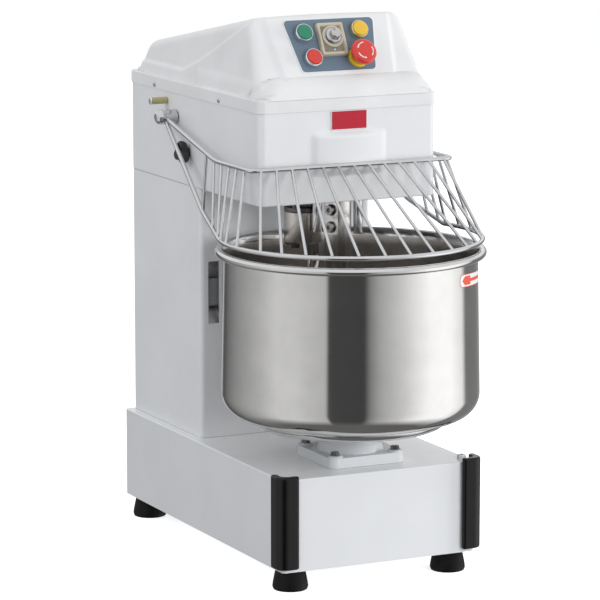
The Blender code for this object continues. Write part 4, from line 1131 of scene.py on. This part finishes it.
def hook_line():
    """The middle of the hook's rod: down from the hub, round in a wider turn, and its foot."""
    shank, reach, top, foot_z, steps = 0.014, 0.046, 0.462, 0.277, 70
    start = math.radians(-30)
    points = [(shank, start, HUB_LOW + 0.010), (shank, start, top)]
    for i in range(1, steps + 1):
        share = i / steps
        radius = shank + (reach - shank) * math.sin(share * math.pi / 2)
        points.append((radius, start - math.tau * 0.92 * share, top - (top - foot_z) * share**1.1))
    last = points[-1][1]
    points += [(reach - 0.0007 * i, last - math.radians(5) * i, foot_z) for i in range(1, 21)]
    return [(HOOK_X + r * math.cos(t), HOOK_Y + r * math.sin(t), z) for r, t, z in points]


def hook_taper(share):
    """Rounds off the rod's tip."""
    end = 0.955
    past = max(0.0, (share - end) / (1 - end))
    return math.sqrt(max(0.02, 1 - past**2 * 0.85))


def hook():
    profile = [
        (0, HUB_LOW), (HUB_RADIUS - 0.0012, HUB_LOW), (HUB_RADIUS, HUB_LOW + 0.0012),
        (HUB_RADIUS, HUB_TOP), (0, HUB_TOP),
    ]
    collar = turned(profile, [0.0005, 0.0005, 0.0010], HOOK_X, HOOK_Y, 80)
    shape = merged(tube(hook_line(), 0.0098, 28, hook_taper), collar)
    piece("hook_spiral", shape, hook_steel, "hook", node="dough_hook", angle=40)
    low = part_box("hook_spindle")[0].z
    seat = low + 0.007
    flange = [
        (0, low), (HUB_RADIUS, low), (HUB_RADIUS, seat), (0.0186, seat),
        (0.0184, 0.6150), (0.0125, 0.6150), (0.0125, 0.682), (0, 0.682),
    ]
    shape = turned(flange, [0.0006, 0.0008, 0.002, 0, 0.0005, 0.0005], HOOK_X, HOOK_Y, 80)
    # The flange is bright steel, but it is drawn in the dark screw steel: painted shade where it sits under
    # the head.
    piece("hook_flange", shape, screw_steel_and_shade, "hook", node="hook_spindle", slot="stainless", angle=40)
    for i, degrees in enumerate((215, 305, 35, 125)):
        across, along = polar(0.0235, degrees)
        x, y = HOOK_X + across, HOOK_Y + along
        place = Matrix.Translation((x, y, seat))
        socket_screw(f"flange_screw_{i + 1}", place, 0.0052, 0.0070, "hook", screw_steel_and_shade)
        if i != 1:
            under = HUB_LOW - 0.0062
            place = Matrix.Translation((x, y, 0)) @ Matrix.Rotation(0.5 * i, 4, "Z")
            nut = hexagon(0.0072, under, HUB_LOW, under, 0.0007, place)
            piece(f"flange_nut_{i + 1}", nut, screw_steel_and_shade, "hook", angle=25)


def breaker_bar():
    bar_y, radius, flat, washer_high = -0.099, 0.020, 0.016, 0.0012
    low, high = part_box("breaker_bar")
    bar = as_object("breaker_rod", drum(radius, low.z, high.z, 0, bar_y, 96, (0.005, 0.0004), 8))
    facing = Matrix.Translation((0, bar_y, 0)) @ Matrix.Rotation(math.radians(204.3), 4, "Z")
    cut = block((flat, 2 * radius), (-radius - 0.002, radius + 0.002), (0.510, high.z + 0.01))
    combine(bar, placed(cut, facing))
    settle(bar, bar_steel, node="breaker_bar", angle=40, edge=0.0005)
    for name, height in (("upper", 0.546), ("lower", 0.520)):
        turn = facing @ sideways(flat, 0, height, 1)
        washer = drum(0.0088, 0, washer_high, sides=40, rounding=(0.0001, 0.0004))
        piece(f"breaker_washer_{name}", placed(washer, turn), screw_steel_and_shade)
        turn = turn @ Matrix.Translation((0, 0, washer_high))
        node = f"breaker_screw_{name}"
        socket_screw(f"breaker_cap_{name}", turn, 0.0074, 0.0056, "stand", bright_screw, node)


def bracket_post(node):
    low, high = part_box(node)
    rod = drum(0.0070, low.z, high.z, *centre_of(low, high), 48, (0.0012, 0.0002))
    piece(f"{node}_rod", rod, chrome, node=node)


# ---------------------------------------------------------------- guard

WIRE, BAR = 0.0035, 0.0024
GUARD_EDGE, GUARD_FRONT, GUARD_TOP = 0.168, -0.1490, 0.6188
GUARD_HUB_RADIUS = 0.0115
GUARD_HUB = Vector((-0.167, GUARD_Y, GUARD_Z))
TOP_BEND = Vector((-GUARD_EDGE, -0.0242, GUARD_TOP))
LOW_BEND = Vector((-0.172, 0.0145, 0.5384))
RING_START = 163


def ring_point(degrees, radius=0.197, height=0.5085):
    x, y = polar(radius, degrees)
    return Vector((x, BOWL_Y + y, height))


def mirrored(points):
    return [Vector((-p[0], p[1], p[2])) for p in points]


def off_hub(toward):
    """Where a wire leaves the left hub."""
    return GUARD_HUB + (toward - GUARD_HUB).normalized() * (GUARD_HUB_RADIUS - 0.0012)


def bar_ends():
    """The upper and the lower end of every bar, from the top wire to the ring."""
    ends = []
    for i in range(-6, 7):
        top_end = Vector((0.1518 * i / 6, GUARD_FRONT, GUARD_TOP))
        ends.append((top_end, ring_point(270 + 11.4 * i)))
    low_ends = [ring_point(degrees) for degrees in (185.3, 174, 164.5)]
    low_ends += [ring_point(RING_START).lerp(LOW_BEND, share) for share in (0.12, 0.41, 0.96)]
    for i, low_end in enumerate(low_ends):
        y = -0.1270 + 0.0268 * i
        if y < TOP_BEND.y:
            top_end = Vector((-GUARD_EDGE, y, GUARD_TOP))
        else:
            top_end = TOP_BEND.lerp(GUARD_HUB, (y - TOP_BEND.y) / (GUARD_Y - TOP_BEND.y))
        ends += [(top_end, low_end), tuple(mirrored((top_end, low_end)))]
    return ends


def weld_taper(share):
    return 1.0 + 0.55 * (1 - share) ** 2


def guard():
    corner, middle = (Vector((x, GUARD_FRONT, GUARD_TOP)) for x in (-GUARD_EDGE, 0))
    left = rounded_path([off_hub(TOP_BEND), TOP_BEND, corner, middle], 0.016, 10)[:-1]
    upper = tube(left + mirrored(left)[::-1], WIRE, 20)
    sweep = 540 - 2 * RING_START
    ring = [ring_point(RING_START + sweep * i / 110) for i in range(111)]
    left = rounded_path([off_hub(LOW_BEND), LOW_BEND, *ring[:2]], 0.014, 8)[:-1]
    lower = tube(left + ring[2:-2] + mirrored(left)[::-1], WIRE, 20)
    bars, welds = [], []
    for top_end, low_end in bar_ends():
        along = (low_end - top_end).normalized()
        reach = along * 0.001
        bars.append(tube([top_end - reach, top_end.lerp(low_end, 0.5), low_end + reach], BAR, 14))
        for point, way in ((top_end, along), (low_end, -along)):
            line = [point + way * (0.0006 + 0.0006 * k) for k in range(8)]
            welds.append(tube(line, BAR, 14, weld_taper))
    shape = merged(upper, lower, *bars, *welds)
    piece("guard_wires", shape, chrome, "guard", node="guard_frame", angle=60)


def guard_bosses():
    """The two domed hubs that the guard turns on."""
    near, wide = 0.1485, GUARD_HUB_RADIUS
    profile = [
        (0, near + 0.0148), (0.0064, near + 0.0148), (0.0064, near), (wide - 0.0008, near),
        (wide, near + 0.0008), (wide, near + 0.0185), (wide - 0.0014, near + 0.0190),
        (wide - 0.0014, near + 0.0205), (wide, near + 0.0210), (wide, near + 0.0248),
        (0.0100, near + 0.0298), (0.0062, near + 0.0332), (0, near + 0.0342),
    ]
    rounding = [0, 0, 0.0004, 0.0004, 0.0005, 0.0002, 0.0002, 0.0004, 0.002, 0.003, 0.004]
    for side, facing in SIDES:
        boss = placed(turned(profile, rounding, sides=72), sideways(0, GUARD_Y, GUARD_Z, facing))
        piece(f"guard_boss_{side}", boss, chrome, "guard", node=f"guard_hub_{side}", angle=40)


def guard_stop():
    turn = sideways(-0.1473, 0.200, 0.6854)
    peg = [
        (0, 0), (0.0043, 0), (0.0043, 0.0262), (0.0056, 0.0268),
        (0.0056, 0.0284), (0.0044, 0.0290), (0, 0.0290),
    ]
    pin = placed(turned(peg, [0, 0.0002, 0.0004, 0.0008, 0.0006], sides=40), turn)
    piece("stop_pin", pin, ring_chrome, node="stop_peg")
    sleeve = [(0.0046, 0.0004), (0.0054, 0.0004), (0.0054, 0.0262), (0.0046, 0.0262)]
    cover_tube = placed(turned(sleeve, [0.0003, 0.0003], sides=40), turn)
    piece("stop_tube", cover_tube, sleeve_yellow, node="stop_sleeve")


def side_knob():
    """A chunky three-lobed grip on its stem."""
    y, z = JOINTS["belt_knob_turn"]["pos_m"][1:]
    sides = 96
    turns = [math.tau * i / sides for i in range(sides)]
    lobes = [0.5 + 0.5 * math.cos(3 * (t - math.radians(100))) for t in turns]
    loops = []
    for depth, share in (
        (0.0036, 0.55), (0.0042, 0.74), (0.0060, 0.88), (0.0100, 0.97), (0.0140, 1.0),
        (0.0160, 0.97), (0.0171, 0.89), (0.0175, 0.76), (0.0175, 0.3),
    ):
        reaches = [share * (0.0105 + 0.0090 * lobe**0.85) for lobe in lobes]
        x = KNOB_SEAT - depth
        loops.append([(x, y + r * math.cos(t), z + r * math.sin(t)) for r, t in zip(reaches, turns)])
    turn = sideways(KNOB_SEAT, y, z)
    stem = placed(drum(0.0078, 0.0003, 0.0040, sides=32), turn)
    screw = placed(drum(0.0048, -0.0178, 0.0006, sides=32), turn)
    shape = merged(skinned(loops, capped=True), stem, screw)
    piece("knob_grip", shape, black_plastic, "belt_knob", node="side_knob", angle=50)


# ---------------------------------------------------------------- stage

def camera():
    """The camera stands to the front left, a little above, as in a catalogue view."""
    azimuth, elevation = math.radians(-25.993), math.radians(10.049)
    level = math.cos(elevation)
    back = Vector((math.sin(azimuth) * level, -math.cos(azimuth) * level, math.sin(elevation)))
    right = Vector((math.cos(azimuth), math.sin(azimuth), 0))
    target = Vector((0, 0.0062, 0.3282)) + right * -0.0109 + back.cross(right) * 0.0609
    data = bpy.data.cameras.new("camera")
    data.sensor_width = 36
    data.lens = 3544.1 / 600 * 36
    data.clip_start, data.clip_end = 0.1, 60
    made = bpy.data.objects.new("camera", data)
    made.location = target + back * 5.4484
    made.rotation_mode = "QUATERNION"
    made.rotation_quaternion = (-back).to_track_quat("-Z", "Y")
    bpy.context.scene.collection.objects.link(made)
    bpy.context.scene.camera = made


def area_light(name, place, aim, size, power):
    data = bpy.data.lights.new(name, "AREA")
    data.shape = "RECTANGLE"
    data.size, data.size_y = size
    data.energy = power
    made = bpy.data.objects.new(name, data)
    made.location = place
    made.rotation_mode = "QUATERNION"
    made.rotation_quaternion = (Vector(aim) - Vector(place)).to_track_quat("-Z", "Y")
    made.visible_camera = False
    made.visible_glossy = False
    bpy.context.scene.collection.objects.link(made)


def surroundings():
    """Bright and dark bands round the object for gloss, a soft sky for light, white to the camera."""
    world = bpy.data.worlds.new("studio")
    bpy.context.scene.world = world
    world.use_nodes = True
    world.node_tree.nodes.clear()
    n = Tree(world.node_tree)
    parts = n.add("ShaderNodeSeparateXYZ")
    n.link(n.add("ShaderNodeTexCoord").outputs["Generated"], parts.inputs[0])
    x, y, z = parts.outputs
    turn = n.math("ARCTAN2", x, n.math("MULTIPLY", y, -1.0))
    share = n.math("FRACT", n.math("ADD", n.math("DIVIDE", turn, math.tau), 0.5 + 26.0 / 360))
    stops = [
        (-180, 0.30), (-152, 0.10), (-140, 0.22), (-123, 0.36), (-104, 0.50), (-88, 0.64),
        (-70, 0.84), (-50, 0.82), (-38, 0.73), (-22, 0.64), (-20, 0.08), (12, 0.07),
        (17, 0.30), (26, 0.54), (48, 0.87), (62, 1.20), (76, 1.45), (101, 1.47),
        (117, 1.15), (124, 0.24), (152, 0.24), (165, 0.36), (180, 0.30),
    ]
    bands = n.ramp(share, *((0.5 + degrees / 360, (grey, grey, grey)) for degrees, grey in stops))
    rise = n.math("MULTIPLY", n.math("SUBTRACT", z, 0.02), 7.0, clamp=True)
    drop = n.math("MULTIPLY", n.math("ADD", z, 0.60), -4.0, clamp=True)
    height = n.math("MULTIPLY_ADD", z, 2.5, 0.5, clamp=True)
    overhead = n.mix(rise, bands, (0.95, 0.96, 0.97, 1))
    reflected = n.mix(drop, overhead, (0.16, 0.158, 0.155, 1))
    sky = n.mix(height, (0.40, 0.41, 0.43, 1), (0.69, 0.70, 0.715, 1))
    rays = n.add("ShaderNodeLightPath").outputs
    soft = n.mix(rays["Is Glossy Ray"], sky, reflected)
    seen = n.mix(rays["Is Camera Ray"], soft, (1, 1, 1, 1))
    background = n.add("ShaderNodeBackground")
    n.link(seen, background.inputs["Color"])
    n.link(background.outputs[0], n.add("ShaderNodeOutputWorld").inputs[0])


def studio():
    bpy.context.scene.view_settings.view_transform = "Standard"
    surroundings()
    area_light("key", (0.7, -3.2, 1.1), (0, -0.05, 0.45), (1.2, 1.2), 34)
    area_light("low", (2.6, -1.1, 0.75), (0, -0.10, 0.20), (1.0, 0.7), 27)
    area_light("fill", (-1.7, 0.15, 1.5), (0, 0.1, 0.60), (0.9, 0.9), 7)


def floor():
    half = 6.0
    shape = bmesh.new()
    corners = ((-half, -half, 0), (half, -half, 0), (half, half, 0), (-half, half, 0))
    shape.faces.new([shape.verts.new(p) for p in corners])
    n = Surface("floor")
    n.colour(n.noise(1.5), (0.3, (0.93, 0.93, 0.93)), (0.7, (0.95, 0.95, 0.95)))
    n.set(Roughness=0.9, Specular_IOR_Level=0.1, Emission_Color=(1, 1, 1, 1), Emission_Strength=0.72)
    made = as_object("floor", shape)
    made.data.materials.append(n.material)
    made.visible_glossy = False
    made.visible_diffuse = False


camera()
studio()
floor()
base_shell()
for foot_place in ("front_left", "rear_left", "front_right", "rear_right"):
    foot(f"foot_{foot_place}")
bumpers()
corner_cap()
column()
column_slot()
gland()
head()
head_bulge()
badge()
cover()
cover_skirt()
skirt_screws()
panel()
push_buttons()
emergency_stop()
timer_frame()
timer_dial()
timer_details()
bowl()
sticker()
bowl_support()
hook()
breaker_bar()
bracket_post("bracket_post_left")
bracket_post("bracket_post_right")
guard()
guard_bosses()
guard_stop()
side_knob()

bpy.context.view_layer.update()
